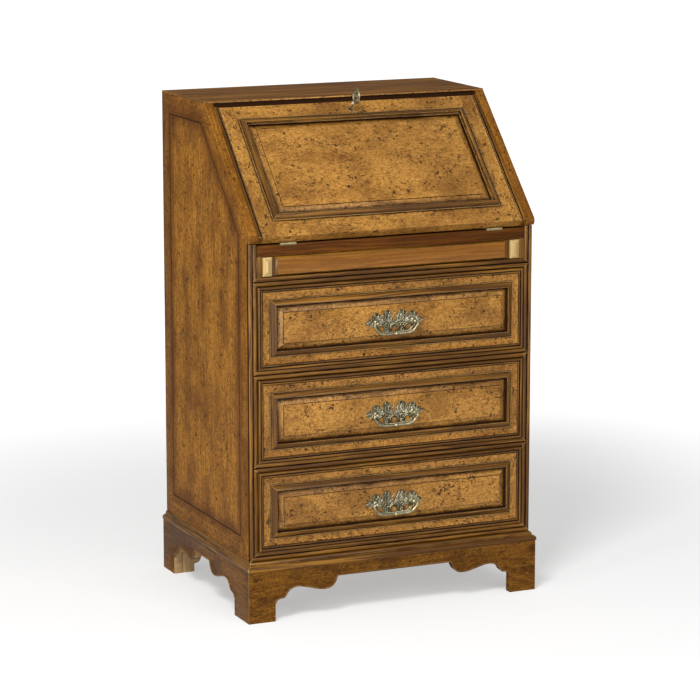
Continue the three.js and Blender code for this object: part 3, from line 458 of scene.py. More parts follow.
def blockMesh(low, high):
    bm = bmesh.new()
    low, high = Vector(low), Vector(high)
    place = Matrix.Translation((low + high) / 2) @ Matrix.Diagonal((*(high - low), 1))
    bmesh.ops.create_cube(bm, size=1, matrix=place)
    return bm


def soften(bm, width, segments=2, angle=28):
    edges = [edge for edge in bm.edges
             if len(edge.link_faces) == 2 and edge.calc_face_angle(0) > math.radians(angle)]
    bmesh.ops.bevel(bm, geom=edges, offset=width, segments=segments, profile=0.5, affect="EDGES",
                    material=-1, clamp_overlap=True)
    return bm


def joined(*parts):
    whole = bmesh.new()
    for part in parts:
        mesh = meshOf(part, "part")
        whole.from_mesh(mesh)
        bpy.data.meshes.remove(mesh)
    return whole


def largestFacing(bm, direction):
    facing = [face for face in bm.faces if face.normal.dot(direction) > 0.99]
    return max(facing, key=lambda face: face.calc_area())


def outermost(bm, direction):
    return max(bm.faces, key=lambda face: face.calc_center_median().dot(direction))


# A merged copy of a CAD node, its flat faces whole again.
def nodeCopy(name):
    bm = bmesh.new()
    bm.from_mesh(frame["nodes"][name].data)
    bmesh.ops.remove_doubles(bm, verts=bm.verts, dist=1e-5)
    bmesh.ops.dissolve_limit(bm, angle_limit=math.radians(0.5), verts=bm.verts, edges=bm.edges)
    return bm


# An outline of (u, v) points, its corners rounded where a radius is given, run along an axis.
def profileBar(points, rounds, uAxis, vAxis, start, run, segments=5):
    bm = bmesh.new()
    corners = [bm.verts.new(start + uAxis * u + vAxis * v) for u, v in points]
    bm.faces.new(corners)
    for index, radius in rounds.items():
        bmesh.ops.bevel(bm, geom=[corners[index]], offset=radius, segments=segments, profile=0.5,
                        affect="VERTICES", material=-1, clamp_overlap=True)
    grown = bmesh.ops.extrude_face_region(bm, geom=list(bm.faces))["geom"]
    moved = [item for item in grown if isinstance(item, bmesh.types.BMVert)]
    bmesh.ops.translate(bm, verts=moved, vec=run)
    bmesh.ops.recalc_face_normals(bm, faces=bm.faces)
    return bm


# Cuts away what lies beyond a plane; the cut is closed unless it is left open for a mitre.
def trim(bm, point, normal, close=True):
    everything = list(bm.verts) + list(bm.edges) + list(bm.faces)
    cut = bmesh.ops.bisect_plane(bm, geom=everything, dist=1e-7, plane_co=point, plane_no=normal,
                                 clear_outer=True)["geom_cut"]
    if close:
        edges = [item for item in cut if isinstance(item, bmesh.types.BMEdge)]
        bmesh.ops.holes_fill(bm, edges=edges, sides=0)
    return bm


# Divides flat faces along planes, without taking anything away.
def score(bm, faces, planes):
    for point, normal in planes:
        parts = {item for face in faces for item in (*face.verts, *face.edges, face)}
        bmesh.ops.bisect_plane(bm, geom=list(parts), dist=1e-7, plane_co=point, plane_no=normal)
        facing = faces[0].normal.copy()
        level = faces[0].verts[0].co.dot(facing)
        faces = [face for face in bm.faces if face.normal.dot(facing) > 0.999
                 and abs(face.verts[0].co.dot(facing) - level) < 1e-6]
    return faces


# Steps inwards from a flat face: each (width, rise) in millimetres makes one mitred ring;
# a third number is that ring's own material.
def stepRings(bm, face, steps, materialIndex=0):
    for width, rise, *own in steps:
        ring = bmesh.ops.inset_region(bm, faces=[face], thickness=width * mm, depth=rise * mm,
                                      use_even_offset=True, use_boundary=True)["faces"]
        for part in ring:
            part.material_index = own[0] if own else materialIndex


# Keeps mitres crisp: they run at 45 degrees between X and the other axis.
def markMitres(bm, other):
    for edge in bm.edges:
        across = edge.verts[0].co - edge.verts[1].co
        wide, high = abs(across.x), abs(across[other])
        if min(wide, high) > 1e-5 and abs(wide - high) < 1e-5:
            edge.smooth = False


# A closed frame of a moulded section: section points are (inwards, level), in the fall's or a plain flat space.
def frameRing(section, halfX, halfY):
    bm = bmesh.new()
    loops = []
    for inwards, level in section:
        place = Matrix.Translation((0, 0, level)) @ Matrix.Diagonal((halfX - inwards, halfY - inwards, 1, 1))
        place = place @ Matrix.Rotation(math.radians(45), 4, "Z")
        made = bmesh.ops.create_circle(bm, segments=4, radius=math.sqrt(2), matrix=place)["verts"]
        loops.append(list({edge for vert in made for edge in vert.link_edges}))
    for first, second in zip(loops, loops[1:] + loops[:1]):
        bmesh.ops.bridge_loops(bm, edges=first + second)
    bmesh.ops.recalc_face_normals(bm, faces=bm.faces)
    markMitres(bm, 1)
    return bm


# A turned shape: (radius, height) points in millimetres, spun round the Z axis.
def turned(points, steps=20):
    bm = bmesh.new()
    line = [bm.verts.new((radius * mm, 0, height * mm)) for radius, height in points]
    edges = [bm.edges.new(pair) for pair in zip(line, line[1:])]
    bmesh.ops.spin(bm, geom=line + edges, cent=(0, 0, 0), axis=(0, 0, 1), dvec=(0, 0, 0),
                   angle=math.tau, steps=steps, use_merge=True, use_duplicate=False)
    bmesh.ops.remove_doubles(bm, verts=bm.verts, dist=1e-6)
    bmesh.ops.recalc_face_normals(bm, faces=bm.faces)
    return bm


def evaluated(item):
    bpy.context.view_layer.update()
    return bpy.data.meshes.new_from_object(item.evaluated_get(bpy.context.evaluated_depsgraph_get()))


def meshOfCurve(curve):
    holder = newObject("curve", curve)
    mesh = evaluated(holder)
    bm = bmesh.new()
    bm.from_mesh(mesh)
    bpy.data.objects.remove(holder)
    bpy.data.curves.remove(curve)
    bpy.data.meshes.remove(mesh)
    bmesh.ops.remove_doubles(bm, verts=bm.verts, dist=1e-6)
    return bm


def newCurve(name, bevel, bevelSteps, steps, flat=False):
    curve = bpy.data.curves.new(name, "CURVE")
    curve.dimensions = "2D" if flat else "3D"
    if flat:
        curve.fill_mode = "BOTH"
    curve.use_fill_caps = not flat
    curve.bevel_depth = bevel
    curve.bevel_resolution = bevelSteps
    curve.resolution_u = steps
    return curve


# A knot is (point, handle before, handle after), or a point alone, which gets its handles by itself.
def addSpline(curve, knots, closed):
    spline = curve.splines.new("BEZIER")
    spline.bezier_points.add(len(knots) - 1)
    spline.use_cyclic_u = closed
    for point, (place, *handles) in zip(spline.bezier_points, knots):
        point.handle_left_type = point.handle_right_type = "FREE" if handles else "AUTO"
        point.co = (*place, 0)
        if handles:
            point.handle_left, point.handle_right = [(*handle, 0) for handle in handles]


# Round strands through points of (x, y, z, radius).
def strands(lines, sides=2, smooth=False, closed=False):
    curve = newCurve("strands", 1.0, sides, 4)
    for line in lines:
        spline = curve.splines.new("BEZIER" if smooth else "POLY")
        points = spline.bezier_points if smooth else spline.points
        points.add(len(line) - 1)
        spline.use_cyclic_u = closed
        for point, (x, y, z, radius) in zip(points, line):
            point.radius = radius
            point.co = (x, y, z) if smooth else (x, y, z, 1)
            if smooth:
                point.handle_left_type = point.handle_right_type = "AUTO"
    return meshOfCurve(curve)


# A flat board with rounded edges; its first outline is the outside, the others are holes.
def outlineBoard(outlines, thickness, edge, steps=6, inset=True):
    curve = newCurve("outline", edge, 1, steps, True)
    curve.extrude = thickness / 2 - edge
    curve.offset = -edge if inset else 0
    for knots in outlines:
        addSpline(curve, knots, True)
    return meshOfCurve(curve)


def carved(bm, *tools):
    objects = [newObject("carving", meshOf(part, "carving")) for part in (bm, *tools)]
    for tool in objects[1:]:
        modifier = objects[0].modifiers.new("cut", "BOOLEAN")
        modifier.operation = "DIFFERENCE"
        modifier.solver = "EXACT"
        modifier.object = tool
    mesh = evaluated(objects[0])
    result = bmesh.new()
    result.from_mesh(mesh)
    for held in [item.data for item in objects] + [mesh]:
        bpy.data.meshes.remove(held)
    return result


def mirroredX(bm):
    bmesh.ops.scale(bm, vec=(-1, 1, 1), verts=bm.verts)
    bmesh.ops.reverse_faces(bm, faces=bm.faces)
    return bm


def makeSides():
    values = {"border": 42, "frontBorder": 41, "topBorder": 39, "lineWidth": 1.2, "lineDepth": 1.0}
    low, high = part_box("side_left")
    footY, footZ = low.y, fallFoot.z
    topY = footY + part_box("top_board")[1].z - footZ
    outline = [
        (backY, low.z), (boardFront, low.z), (boardFront, footZ - 14 * mm), (footY + 4 * mm, footZ - 13 * mm),
        (footY, footZ - 8 * mm), (footY, footZ), (topY - 3.3 * mm, high.z), (backY, high.z),
    ]
    rounds = {3: 2 * mm, 4: 4 * mm, 5: 3 * mm}
    bm = profileBar(outline, rounds, back, up, right * low.x, right * (high.x - low.x), 4)
    soften(bm, 0.7 * mm)
    diagonal = Vector((0, -1, 1)).normalized()
    planes = [
        (Vector((low.x, backY - values["border"] * mm, 0)), back),
        (Vector((low.x, 0, low.z + values["border"] * mm)), -up),
        (Vector((low.x, boardFront + values["frontBorder"] * mm, 0)), front),
        (Vector((low.x, 0, high.z - values["topBorder"] * mm)), up),
        (Vector((low.x, footY, footZ)) - diagonal * values["border"] * mm, diagonal),
    ]
    faces = score(bm, [largestFacing(bm, -right)], planes)
    inside = [face for face in faces
              if all((face.calc_center_median() - point).dot(normal) < 0 for point, normal in planes)]
    if len(inside) > 1:
        inside = bmesh.ops.dissolve_faces(bm, faces=inside)["region"]
    line = [(values["lineWidth"], -values["lineDepth"]), (values["lineWidth"], values["lineDepth"])]
    stepRings(bm, inside[0], line, 1)
    inside[0].material_index = 0
    border = {
        "Low": (0, boardFront + values["frontBorder"] * mm, low.z + values["border"] * mm),
        "High": (0, backY - values["border"] * mm, high.z - values["topBorder"] * mm),
        "Slope": (Vector((0, footY, footZ)) - diagonal * values["border"] * mm).dot(diagonal),
    }
    sideBurl = burlMaterial("side burl",
        light=(0.56, 0.25, 0.032), shade=(0.19, 0.070, 0.008), cloud=(0.11, 0.036, 0.004),
        fleck=(0.02, 0.006, 0.001), dark=(0.02, 0.006, 0.001), edge=(0.44, 0.23, 0.06), flecks=1.0, cloudy=0.7,
        streak=0.75, hollow=0.016, glaze=0.9, worn=0.4, rough=0.5, coat=0.04, border=border,
        borderShade=(0.075, 0.020, 0.002))
    woods = [sideBurl, inlayLineAndShadeWood]
    cover("side_right", "board", mirroredX(bm.copy()), "burl", woods)
    cover("side_left", "board", bm, "burl", woods)


def makeTop():
    low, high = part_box("top_board")
    topY = fallFoot.y + high.z - fallFoot.z
    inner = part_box("back_panel")[1].x
    sheet = [(backY, high.z - 3 * mm), (topY - 3.6 * mm, high.z - 3 * mm), (topY - 3.4 * mm, high.z - 1.2 * mm),
             (topY - 1.6 * mm, high.z), (backY, high.z)]
    veneer = profileBar(sheet, {1: 0.6 * mm, 2: 1.2 * mm, 3: 1.2 * mm}, back, up, right * low.x,
                        right * (high.x - low.x), 3)
    below = [(backY, low.z), (topY + 3.6 * mm, low.z), (topY - 7 * mm, high.z - 11.4 * mm),
             (topY - 6 * mm, high.z - 10 * mm), (topY - 1.2 * mm, high.z - 8.4 * mm),
             (topY + 0.6 * mm, high.z - 5.6 * mm), (topY + 0.2 * mm, high.z - 3.02 * mm),
             (backY, high.z - 3.02 * mm)]
    body = profileBar(below, {3: 0.8 * mm, 4: 2 * mm, 5: 1.5 * mm}, back, up, right * -inner,
                      right * (2 * inner), 4)
    boltSlot = blockMesh((-12 * mm, topY - 3 * mm, low.z - mm), (12 * mm, topY + 12 * mm, high.z - 9 * mm))
    core = carved(body, boltSlot)
    # Faces turned to the front or down take the second material: on the veneer a lighter burl along the nose, a
    # painted highlight; on the core dark line wood, painted shade in the cove.
    for part in (veneer, core):
        part.normal_update()
        for face in part.faces:
            face.material_index = 1 if face.normal.y < -0.3 else 0
    addPiece("top_veneer", veneer, "carcass", "walnut", [topWood, bandBurl])
    cover("top_board", "core", core, "walnut", [topWood, inlayLineAndShadeWood])


# Boards side by side with a small groove at each joint.
def boarded(low, high, count, axis, groove=1.2):
    bm = soften(blockMesh(low, high), 0.5 * mm)
    direction = right if axis == 0 else up
    for side in (1, -1):
        span = high[axis] - low[axis]
        places = [low[axis] + span * step / count for step in range(1, count)]
        planes = [(direction * (place + offset * groove * mm), direction)
                  for place in places for offset in (-0.5, 0.5)]
        for face in score(bm, [largestFacing(bm, back * side)], planes):
            middle = face.calc_center_median()[axis]
            if any(abs(middle - place) < groove * 0.4 * mm for place in places):
                bmesh.ops.inset_region(bm, faces=[face], thickness=groove * 0.35 * mm, depth=-0.8 * mm,
                                       use_even_offset=True, use_boundary=True)
    return bm


def makeInsideBoards():
    low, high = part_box("back_panel")
    addPiece("back_boards", boarded(low, high, 6, 0), "carcass", "oak", [plainWood], ["back_panel"])
    for name in ("bottom_board", "dust_board_1", "dust_board_2", "dust_board_3"):
        cover(name, "wood", soften(blockMesh(*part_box(name)), 0.6 * mm), "oak", [plainWood])
    for side in ("left", "right"):
        guide, bracket = "loper_guide_" + side, "rear_bracket_" + side
        cover(guide, "wood", soften(blockMesh(*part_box(guide)), 0.8 * mm), "walnut", [brownWood])
        cover(bracket, "wood", soften(nodeCopy(bracket), 0.7 * mm, 1), "oak", [plainWood])
    cover("desk_board", "wood", soften(nodeCopy("desk_board"), 0.6 * mm, 2, 60), "walnut", [deskBoardShadedWood])


reedGap = 0.1 * mm  # half the quirk between two reeds


# One half-round reed with its back flat on the carcass.
def reedBar(low, high):
    bm = blockMesh(low, high)
    longest = max(edge.calc_length() for edge in bm.edges)
    crests = [edge for edge in bm.edges if edge.calc_length() > longest - 1e-6
              and all(abs(vert.co.y - low[1]) < 1e-6 for vert in edge.verts)]
    bmesh.ops.bevel(bm, geom=crests, offset=3.9 * mm, segments=6, profile=0.5, affect="EDGES", material=-1)
    bm.normal_update()
    # Faces on the reed's steep flanks take the dark line wood: painted shade in the quirks.
    for face in bm.faces:
        face.material_index = 1 if abs(face.normal.y) < 0.45 else 0
    return bm


def makeRails():
    for number in (1, 2, 3, 4):
        name = f"rail_bead_{number}"
        low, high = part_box(name)
        middle = (low.z + high.z) / 2
        half = high.z - middle
        reeds = []
        for z0, z1, lean in ((low.z, middle - reedGap, -1), (middle + reedGap, high.z, 1)):
            bm = reedBar((low.x, low.y, z0), (high.x, high.y, z1))
            for side in (-1, 1):
                if number < 4:
                    corner = Vector((side * (high.x - half), 0, high.z if lean > 0 else low.z))
                    trim(bm, corner, Vector((side, 0, lean)))
                else:
                    trim(bm, Vector((side * high.x, 0, low.z)), Vector((side, 0, 1)))
            reeds.append(bm)
        cover(name, "reeds", joined(*reeds), "walnut", [brownWood, inlayLineAndShadeWood], sharp=50)


def makeStiles():
    low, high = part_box("stile_bead_right")
    middleX = (low.x + high.x) / 2
    rails = [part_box(f"rail_bead_{number}") for number in (1, 2, 3, 4)]
    outer = reedBar((middleX + reedGap, low.y, rails[3][0].z), (high.x, high.y, high.z))
    trim(outer, Vector((high.x, 0, rails[3][0].z)), Vector((-1, 0, -1)))
    reeds = [outer]
    pastTop = 9 * mm  # inner reeds run on into the mitre
    tops = [high.z] + [rail[0].z for rail in rails[:3]]
    for top, rail in zip(tops, rails):
        bm = reedBar((low.x, low.y, rail[0].z), (middleX - reedGap, high.y, min(top + pastTop, high.z)))
        trim(bm, Vector((low.x, 0, rail[1].z + reedGap)), Vector((-1, 0, -1)))
        if top < high.z:
            trim(bm, Vector((low.x, 0, top - reedGap)), Vector((-1, 0, 1)))
        reeds.append(bm)
    bm = joined(*reeds)
    for side, part in (("left", mirroredX(bm.copy())), ("right", bm)):
        addPiece(f"stile_{side}_reeds", part, "carcass", "walnut", [brownWood, inlayLineAndShadeWood],
                 ["stile_bead_" + side], 50)


def makeBaseMoulding():
    low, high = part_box("base_moulding_front")
    section = [(0, 0), (26, 0), (26, 9.6), (20.2, 10.8), (19, 12.2), (19, 14.4), (17, 18), (0, 18)]
    rounds = {1: 2.6 * mm, 2: 4.4 * mm, 3: 0.6 * mm, 5: 0.5 * mm, 6: 1.4 * mm}
    points = [(out * mm, low.z + rise * mm) for out, rise in section]
    bm = profileBar(points, rounds, front, up, Vector((low.x, high.y, 0)), right * (high.x - low.x))
    for side in (-1, 1):
        trim(bm, Vector((side * high.x, low.y, 0)), Vector((side, 1, 0)))
    cover("base_moulding_front", "wood", bm, "walnut", [brownWood], sharp=40)
    start = Vector((high.x - 26 * mm, backY, 0))
    bm = profileBar(points, rounds, right, up, start, front * (backY - low.y))
    trim(bm, Vector((high.x, low.y + 0.3 * mm, 0)), Vector((-1, -1, 0)))
    for side, part in (("left", mirroredX(bm.copy())), ("right", bm)):
        cover("base_moulding_" + side, "wood", part, "walnut", [brownWood], sharp=40)


# Knots (point, handle before, handle after) of an apron's lower edge, from the floor to its straight middle.
def scallopKnots(foot, direction, length):
    def at(share, height):
        return Vector((foot + direction * share * length, height * mm))

    spring, cusp = at(0, 35), at(0.13, 46)
    bend = at(0, 46)
    knots = [
        (at(0, 0), at(0, 0), at(0, 0)),
        (spring, spring, spring.lerp(bend, 2 / 3)),
        (cusp, cusp.lerp(bend, 2 / 3), cusp),
        (at(0.16, 50), at(0.16, 50), at(0.2, 63)),
        (at(0.4, 66), at(0.3, 68), at(0.55, 63)),
        (at(0.8, 55), at(0.66, 55), at(0.93, 55)),
        (at(0.98, 76), at(0.96, 67), at(0.98, 76)),
        (at(1, 79), at(1, 79), at(1, 79)),
    ]
    return knots


def backwards(knots):
    return [(point, after, before) for point, before, after in reversed(knots)]


def plinthBoard(u0, u1, firstFoot, lastFoot, firstLength, lastLength, height, thickness):
    edge = scallopKnots(u0 + firstFoot, 1, firstLength) + backwards(scallopKnots(u1 - lastFoot, -1, lastLength))
    corners = [Vector((u1, 0)), Vector((u1, height)), Vector((u0, height)), Vector((u0, 0))]
    board = outlineBoard([edge + [(corner,) * 3 for corner in corners]], thickness, 0.6 * mm)
    curve = newCurve("bead", 1.9 * mm, 2, 6)
    lift = Vector((0, 0.9 * mm))
    addSpline(curve, [[place + lift for place in knot] for knot in edge[1:-1]], False)
    bead = meshOfCurve(curve)
    bmesh.ops.translate(bead, verts=bead.verts, vec=(0, 0, thickness / 2 - 0.4 * mm))
    return board, bead


def makePlinth():
    values = {"frontFoot": 57, "rearFoot": 62, "length": 134, "rearLength": 118}
    low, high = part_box("plinth_front")
    height, thickness = high.z - low.z, high.y - low.y
    board, bead = plinthBoard(low.x - mm, high.x + mm, (values["frontFoot"] + 1) * mm,
                              (values["frontFoot"] + 1) * mm, values["length"] * mm, values["length"] * mm,
                              height, thickness)
    stand = Matrix.Translation((0, (low.y + high.y) / 2, 0)) @ tipForward
    board.transform(stand)
    for side in (-1, 1):
        trim(board, Vector((side * high.x, low.y, 0)), Vector((side, 1, 0)))
    cover("plinth_front", "board", board, "burl", [plinthBurl])
    addPiece("plinth_front_bead", bead, "carcass", "walnut", [beadWood], (), 60, stand)

    low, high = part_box("plinth_left")
    length = high.y - low.y
    board, bead = plinthBoard(0, length + mm, values["rearFoot"] * mm, (values["frontFoot"] + 19.3) * mm,
                              values["rearLength"] * mm, values["length"] * mm, height, thickness)
    stand = Matrix.Translation(((low.x + high.x) / 2, high.y, 0)) @ standSideways
    board.transform(stand)
    bead.transform(stand)
    trim(board, Vector((low.x, low.y, 0)), Vector((1, -1, 0)))
    board.normal_update()
    for face in board.faces:
        face.material_index = 1 if face.normal.y < -0.6 and face.calc_center_median().y > 0 else 0
    for side, boardPart, beadPart in (("right", mirroredX(board.copy()), mirroredX(bead.copy())),
                                      ("left", board, bead)):
        cover("plinth_" + side, "board", boardPart, "burl", [plinthBurl, plainWood])
        addPiece(f"plinth_{side}_bead", beadPart, "carcass", "walnut", [beadWood], (), 60)


beadWood = grainMaterial("plinth bead wood",
    light=(0.24, 0.12, 0.025), shade=(0.11, 0.045, 0.008), dark=(0.02, 0.006, 0.002),
    edge=(0.52, 0.36, 0.18), hollow=0.004, glaze=0.9, worn=0.8, rough=0.36, coat=0.3)
makeSides()
makeTop()
makeInsideBoards()
makeRails()
makeStiles()
makeBaseMoulding()
makePlinth()
print("stage: carcass made")


def makeLoperRow():
    values = {"endBevel": 11, "longBevel": 3.6, "rise": 5}
    low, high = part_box("frieze_panel")
    bm = blockMesh((low.x, low.y + values["rise"] * mm, low.z), high)
    face = outermost(bm, front)
    grown = bmesh.ops.extrude_face_region(bm, geom=[face])["geom"]
    middle = (low + high) / 2
    for vert in [item for item in grown if isinstance(item, bmesh.types.BMVert)]:
        vert.co.y = low.y
        vert.co.x = middle.x + (vert.co.x - middle.x) * (1 - values["endBevel"] * mm / (high.x - middle.x))
        vert.co.z = middle.z + (vert.co.z - middle.z) * (1 - values["longBevel"] * mm / (high.z - middle.z))
    bmesh.ops.delete(bm, geom=[face], context="FACES_ONLY")
    soften(bm, 0.5 * mm, 2, 20)
    bm.normal_update()
    for face in bm.faces:
        face.material_index = 0 if face.normal.y < -0.999 else 1
    cover("frieze_panel", "wood", bm, "burl", [friezeWood, brownWood], sharp=20)
    for side in ("left", "right"):
        bm = soften(nodeCopy("loper_" + side), 0.4 * mm, 2, 20)
        cover("loper_" + side, "bar", bm, "oak", [loperWood], f"loper_{side}_slide", 20)


friezeWood = grainMaterial("frieze grain",
    light=(0.32, 0.13, 0.017), shade=(0.18, 0.064, 0.008), dark=(0.015, 0.005, 0.001),
    edge=(0.5, 0.33, 0.15), hollow=0.009, glaze=0.97, worn=0.6, rough=0.36, coat=0.55)
makeLoperRow()


def drawerFront(number):
    # Rings whose third number is 3 take the dark line wood: painted shade in the quirks of the bead and the
    # bolection, and at the field's bevel.
    edgeBead = [(0.5, 1.2, 3), (0.8, 0.6), (1.2, 0.2), (1.2, -0.2), (1.0, -0.7), (0.7, -1.2, 3), (0.3, -1.4, 3),
                (1.2, 0, 3), (0.3, 0.9, 3), (1.3, 0.3), (1.2, -0.4), (1.3, -0.3, 3)]
    crossband = [(13.5, 0)]
    bolection = [(0.2, 1.2, 3), (1.2, 0.1), (0.2, -0.6, 3), (1.2, 0.7, 3), (1.5, 1.3), (1.8, 1.5), (1.6, 1.2),
                 (1.4, 0.8), (1.2, 0.5), (0.8, 0.2), (0.8, -0.2), (0.4, -1.4), (0.3, -1.6), (0.5, -1.3, 3),
                 (0.6, -0.8, 3), (0.2, 0.3, 3), (0.4, -1.3, 3)]
    bevel = [(0.6, -0.4, 3), (11.4, 4.4), (0.8, 0.2, 3), (0.15, 1.2, 3), (0.55, 0.1)]
    low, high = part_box(f"drawer_{number}_front")
    bm = blockMesh((low.x, low.y + 6 * mm, low.z), high)
    face = outermost(bm, front)
    stepRings(bm, face, edgeBead, 0)
    stepRings(bm, face, crossband, 1)
    stepRings(bm, face, bolection, 0)
    stepRings(bm, face, bevel, 2)
    face.material_index = 2
    markMitres(bm, 2)
    cover(f"drawer_{number}_front", "wood", bm, "burl", [brownWood, bandBurl, honeyBurl, inlayLineAndShadeWood],
          f"drawer_{number}", 38)


# Five boards; the sides lap the front with fine dovetails, the bottom sits in a groove.
def drawerBox(number):
    values = {"wall": 10, "floor": 6, "tails": 4}
    low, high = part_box(f"drawer_{number}_box")
    wall = values["wall"] * mm
    parts = []
    for side in (-1, 1):
        x0, x1 = sorted((side * high.x, side * (high.x - wall)))
        parts.append(soften(blockMesh((x0, low.y, low.z), (x1, high.y, high.z)), 0.8 * mm))
    for y0, y1, drop in ((low.y, low.y + wall, 0), (high.y - wall, high.y, 2.5 * mm)):
        parts.append(soften(blockMesh((low.x + wall, y0, low.z), (high.x - wall, y1, high.z - drop)), 0.8 * mm))
    floorBoards = boarded((low.x + wall, low.y + wall, low.z + 0.5 * mm),
                          (high.x - wall, high.y - wall, low.z + values["floor"] * mm), 1, 0)
    parts.append(floorBoards)
    cover(f"drawer_{number}_box", "boards", joined(*parts), "oak", [plainWood], f"drawer_{number}")
    pins = []
    pitch = (high.z - low.z) / values["tails"]
    for side in (-1, 1):
        for y, direction in ((low.y, 1), (high.y, -1)):
            for step in range(values["tails"]):
                z = low.z + pitch * (step + 0.5)
                points = [(0.2, -7), (10, -4), (10, 4), (0.2, 7)]
                start = Vector((side * (high.x - 0.3 * mm), y, z))
                pin = profileBar([(u * mm, v * mm) for u, v in points], {}, Vector((0, direction, 0)), up,
                                 start, right * side * 0.45 * mm)
                pins.append(pin)
    addPiece(f"drawer_{number}_dovetails", joined(*pins), f"drawer_{number}", "oak", [pinWood])


pinWood = grainMaterial("dovetail end grain",
    light=(0.3, 0.17, 0.075), shade=(0.2, 0.105, 0.042), dark=(0.09, 0.04, 0.015), edge=(0.36, 0.22, 0.1),
    hollow=0.003, glaze=0.5, worn=0.2, rough=0.65)
for drawerNumber in (1, 2, 3):
    drawerFront(drawerNumber)
    drawerBox(drawerNumber)
print("stage: drawers made")


def makeFall():
    values = {"edge": 11, "side": 29, "top": 31, "foot": 37, "moulding": 18, "margin": 0.3, "leafHalf": 17.3,
              "leafLength": 21.1, "leafDepth": 2.3, "knuckle": 4.1, "lockHalf": 28.3, "lockDrop": 20.3,
              "lockDepth": 12.8}
    margin, leafHalf = values["margin"] * mm, values["leafHalf"]
    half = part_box("fall_board")[1].x
    inner = half - values["edge"] * mm
    openHalf = inner - values["side"] * mm
    openTop, openFoot = fallHeight - values["top"] * mm, values["foot"] * mm
    level = -2.5 * mm  # the frame lies below the edge beads
    inside = -fallThickness

    core = blockMesh((-inner, margin, inside), (inner, fallHeight - margin, level))
    planes = [(right * openHalf, right), (right * -openHalf, -right),
              (back * openTop, back), (back * openFoot, front)]
    faces = score(core, [outermost(core, up)], planes)
    panel = [item for item in faces
             if all((item.calc_center_median() - point).dot(normal) < 0 for point, normal in planes)][0]
    # Rings whose third number is 2 take the dark line wood: painted shade at the small steps on either side of the
    # panel's bevel.
    steps = [(0.01, -2.5), (values["moulding"] + 0.3, 0), (0.02, 1.6), (0.5, 0.4, 2), (11.2, 3.4), (0.8, 0.2, 2),
             (0.15, 0.9, 2), (0.5, 0.1)]
    stepRings(core, panel, steps)
    markMitres(core, 1)

    keyhole = turned([(0, -30), (4, -30), (4, 10), (0, 10)], 24)
    bmesh.ops.translate(keyhole, verts=keyhole.verts, vec=(0, keyPlace, 0))
    low, high = leatherLimits()
    clear = Vector((margin, margin, 0))
    lockHalf, lockFoot = values["lockHalf"] * mm, keyPlace - values["lockDrop"] * mm
    lockFloor = inside + values["lockDepth"] * mm
    tools = [
        blockMesh((-lockHalf, lockFoot, inside - mm), (lockHalf, fallHeight + mm, lockFloor)),
        keyhole,
        blockMesh(low - clear + up * (inside - mm), high + clear + up * (inside + 1.5 * mm)),
    ]
    for x in (-hingeX, hingeX):
        tools.append(blockMesh((x - leafHalf * mm, -mm, inside - mm),
                               (x + leafHalf * mm, values["leafLength"] * mm, inside + values["leafDepth"] * mm)))
        radius = values["knuckle"]
        relief = turned([(0, -leafHalf), (radius, -leafHalf), (radius, leafHalf), (0, leafHalf)], 24)
        relief.transform(Matrix.Translation((x, -axisUp, -axisBehind)) @ layAcross)
        tools.append(relief)
    core = carved(core, *tools)

    section = [(0, inside / mm), (0, -1.6), (0.5, -0.5), (1.6, 0), (3.4, 0), (4.6, -0.7), (5.3, -1.9), (5.6, -3.4),
               (6.6, -3.6), (6.9, -2.3), (7.9, -1.5), (9.3, -1.7), (10.7, -2.6), (11.02, -2.6),
               (11.02, inside / mm)]
    section = [(w * mm, z * mm) for w, z in section]
    strips = []
    for side in (-1, 1):
        start = Vector((side * half, margin, 0))
        strips.append(profileBar(section, {}, right * -side, up, start, back * (fallHeight - 2 * margin)))
    addPiece("fall_edge_beads", joined(*strips), "fall", "walnut", [brownWood], (), 45, fallSpace)

    profile = [(0, -4.7), (0, -0.9), (0.5, 0.1), (2.0, 0.3), (2.3, -0.7), (3.0, -0.8), (3.8, 0.5), (5.0, 2.0),
               (6.4, 3.2), (8.0, 4.1), (9.6, 4.6), (11.2, 4.7), (12.4, 4.4), (12.9, 3.2), (13.3, 1.8),
               (14.0, 0.7), (14.9, 0.2), (15.5, 0.7), (16.4, 0.8), (17.1, 0.2), (17.7, -1.0), (18.0, -2.2),
               (18.0, -4.7)]
    ring = frameRing([(w * mm, z * mm) for w, z in profile], openHalf, (openTop - openFoot) / 2)
    ring.transform(Matrix.Translation((0, (openTop + openFoot) / 2, 0)))
    for face in ring.faces:
        face.material_index = 1
    addPiece("fall_panel", joined(core, ring), "fall", "burl", [honeyBurl, brownWood, inlayLineAndShadeWood],
             ["fall_board", "fall_moulding"], 39, fallSpace)


def leatherLimits():
    values = {"foot": 46, "belowKey": 32}
    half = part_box("fall_leather")[1].x
    return Vector((-half, values["foot"] * mm, 0)), Vector((half, keyPlace - values["belowKey"] * mm, 0))


def makeLeather():
    low, high = leatherLimits()
    skin = blockMesh(low - up * fallThickness, high + up * (1.2 * mm - fallThickness))
    soften(skin, 0.4 * mm)
    skin.normal_update()
    # A wide and a narrow gilt line are pressed round the leather.
    stepRings(skin, outermost(skin, -up), [(9, 0), (0.1, 0.06, 1), (1.5, 0, 1), (0.1, -0.06, 1), (1.6, 0),
                                          (0.5, 0.04, 1),
                                          (0.1, -0.04)])
    cover("fall_leather", "skin", skin, "leather", [deskLeather, hingeBrass], "fall", 30, fallSpace)


# A countersunk screw with a slot, its face towards +Z.
def screwHead(radius, place):
    halves = []
    for side in (-1, 1):
        bm = turned([(0, -0.4), (radius, -0.4), (radius, 0), (radius * 0.9, 0.14), (0, 0.2)], 16)
        trim(bm, back * (side * 0.13 * radius * mm), front * side)
        halves.append(bm)
    whole = joined(*halves)
    whole.transform(place)
    return whole


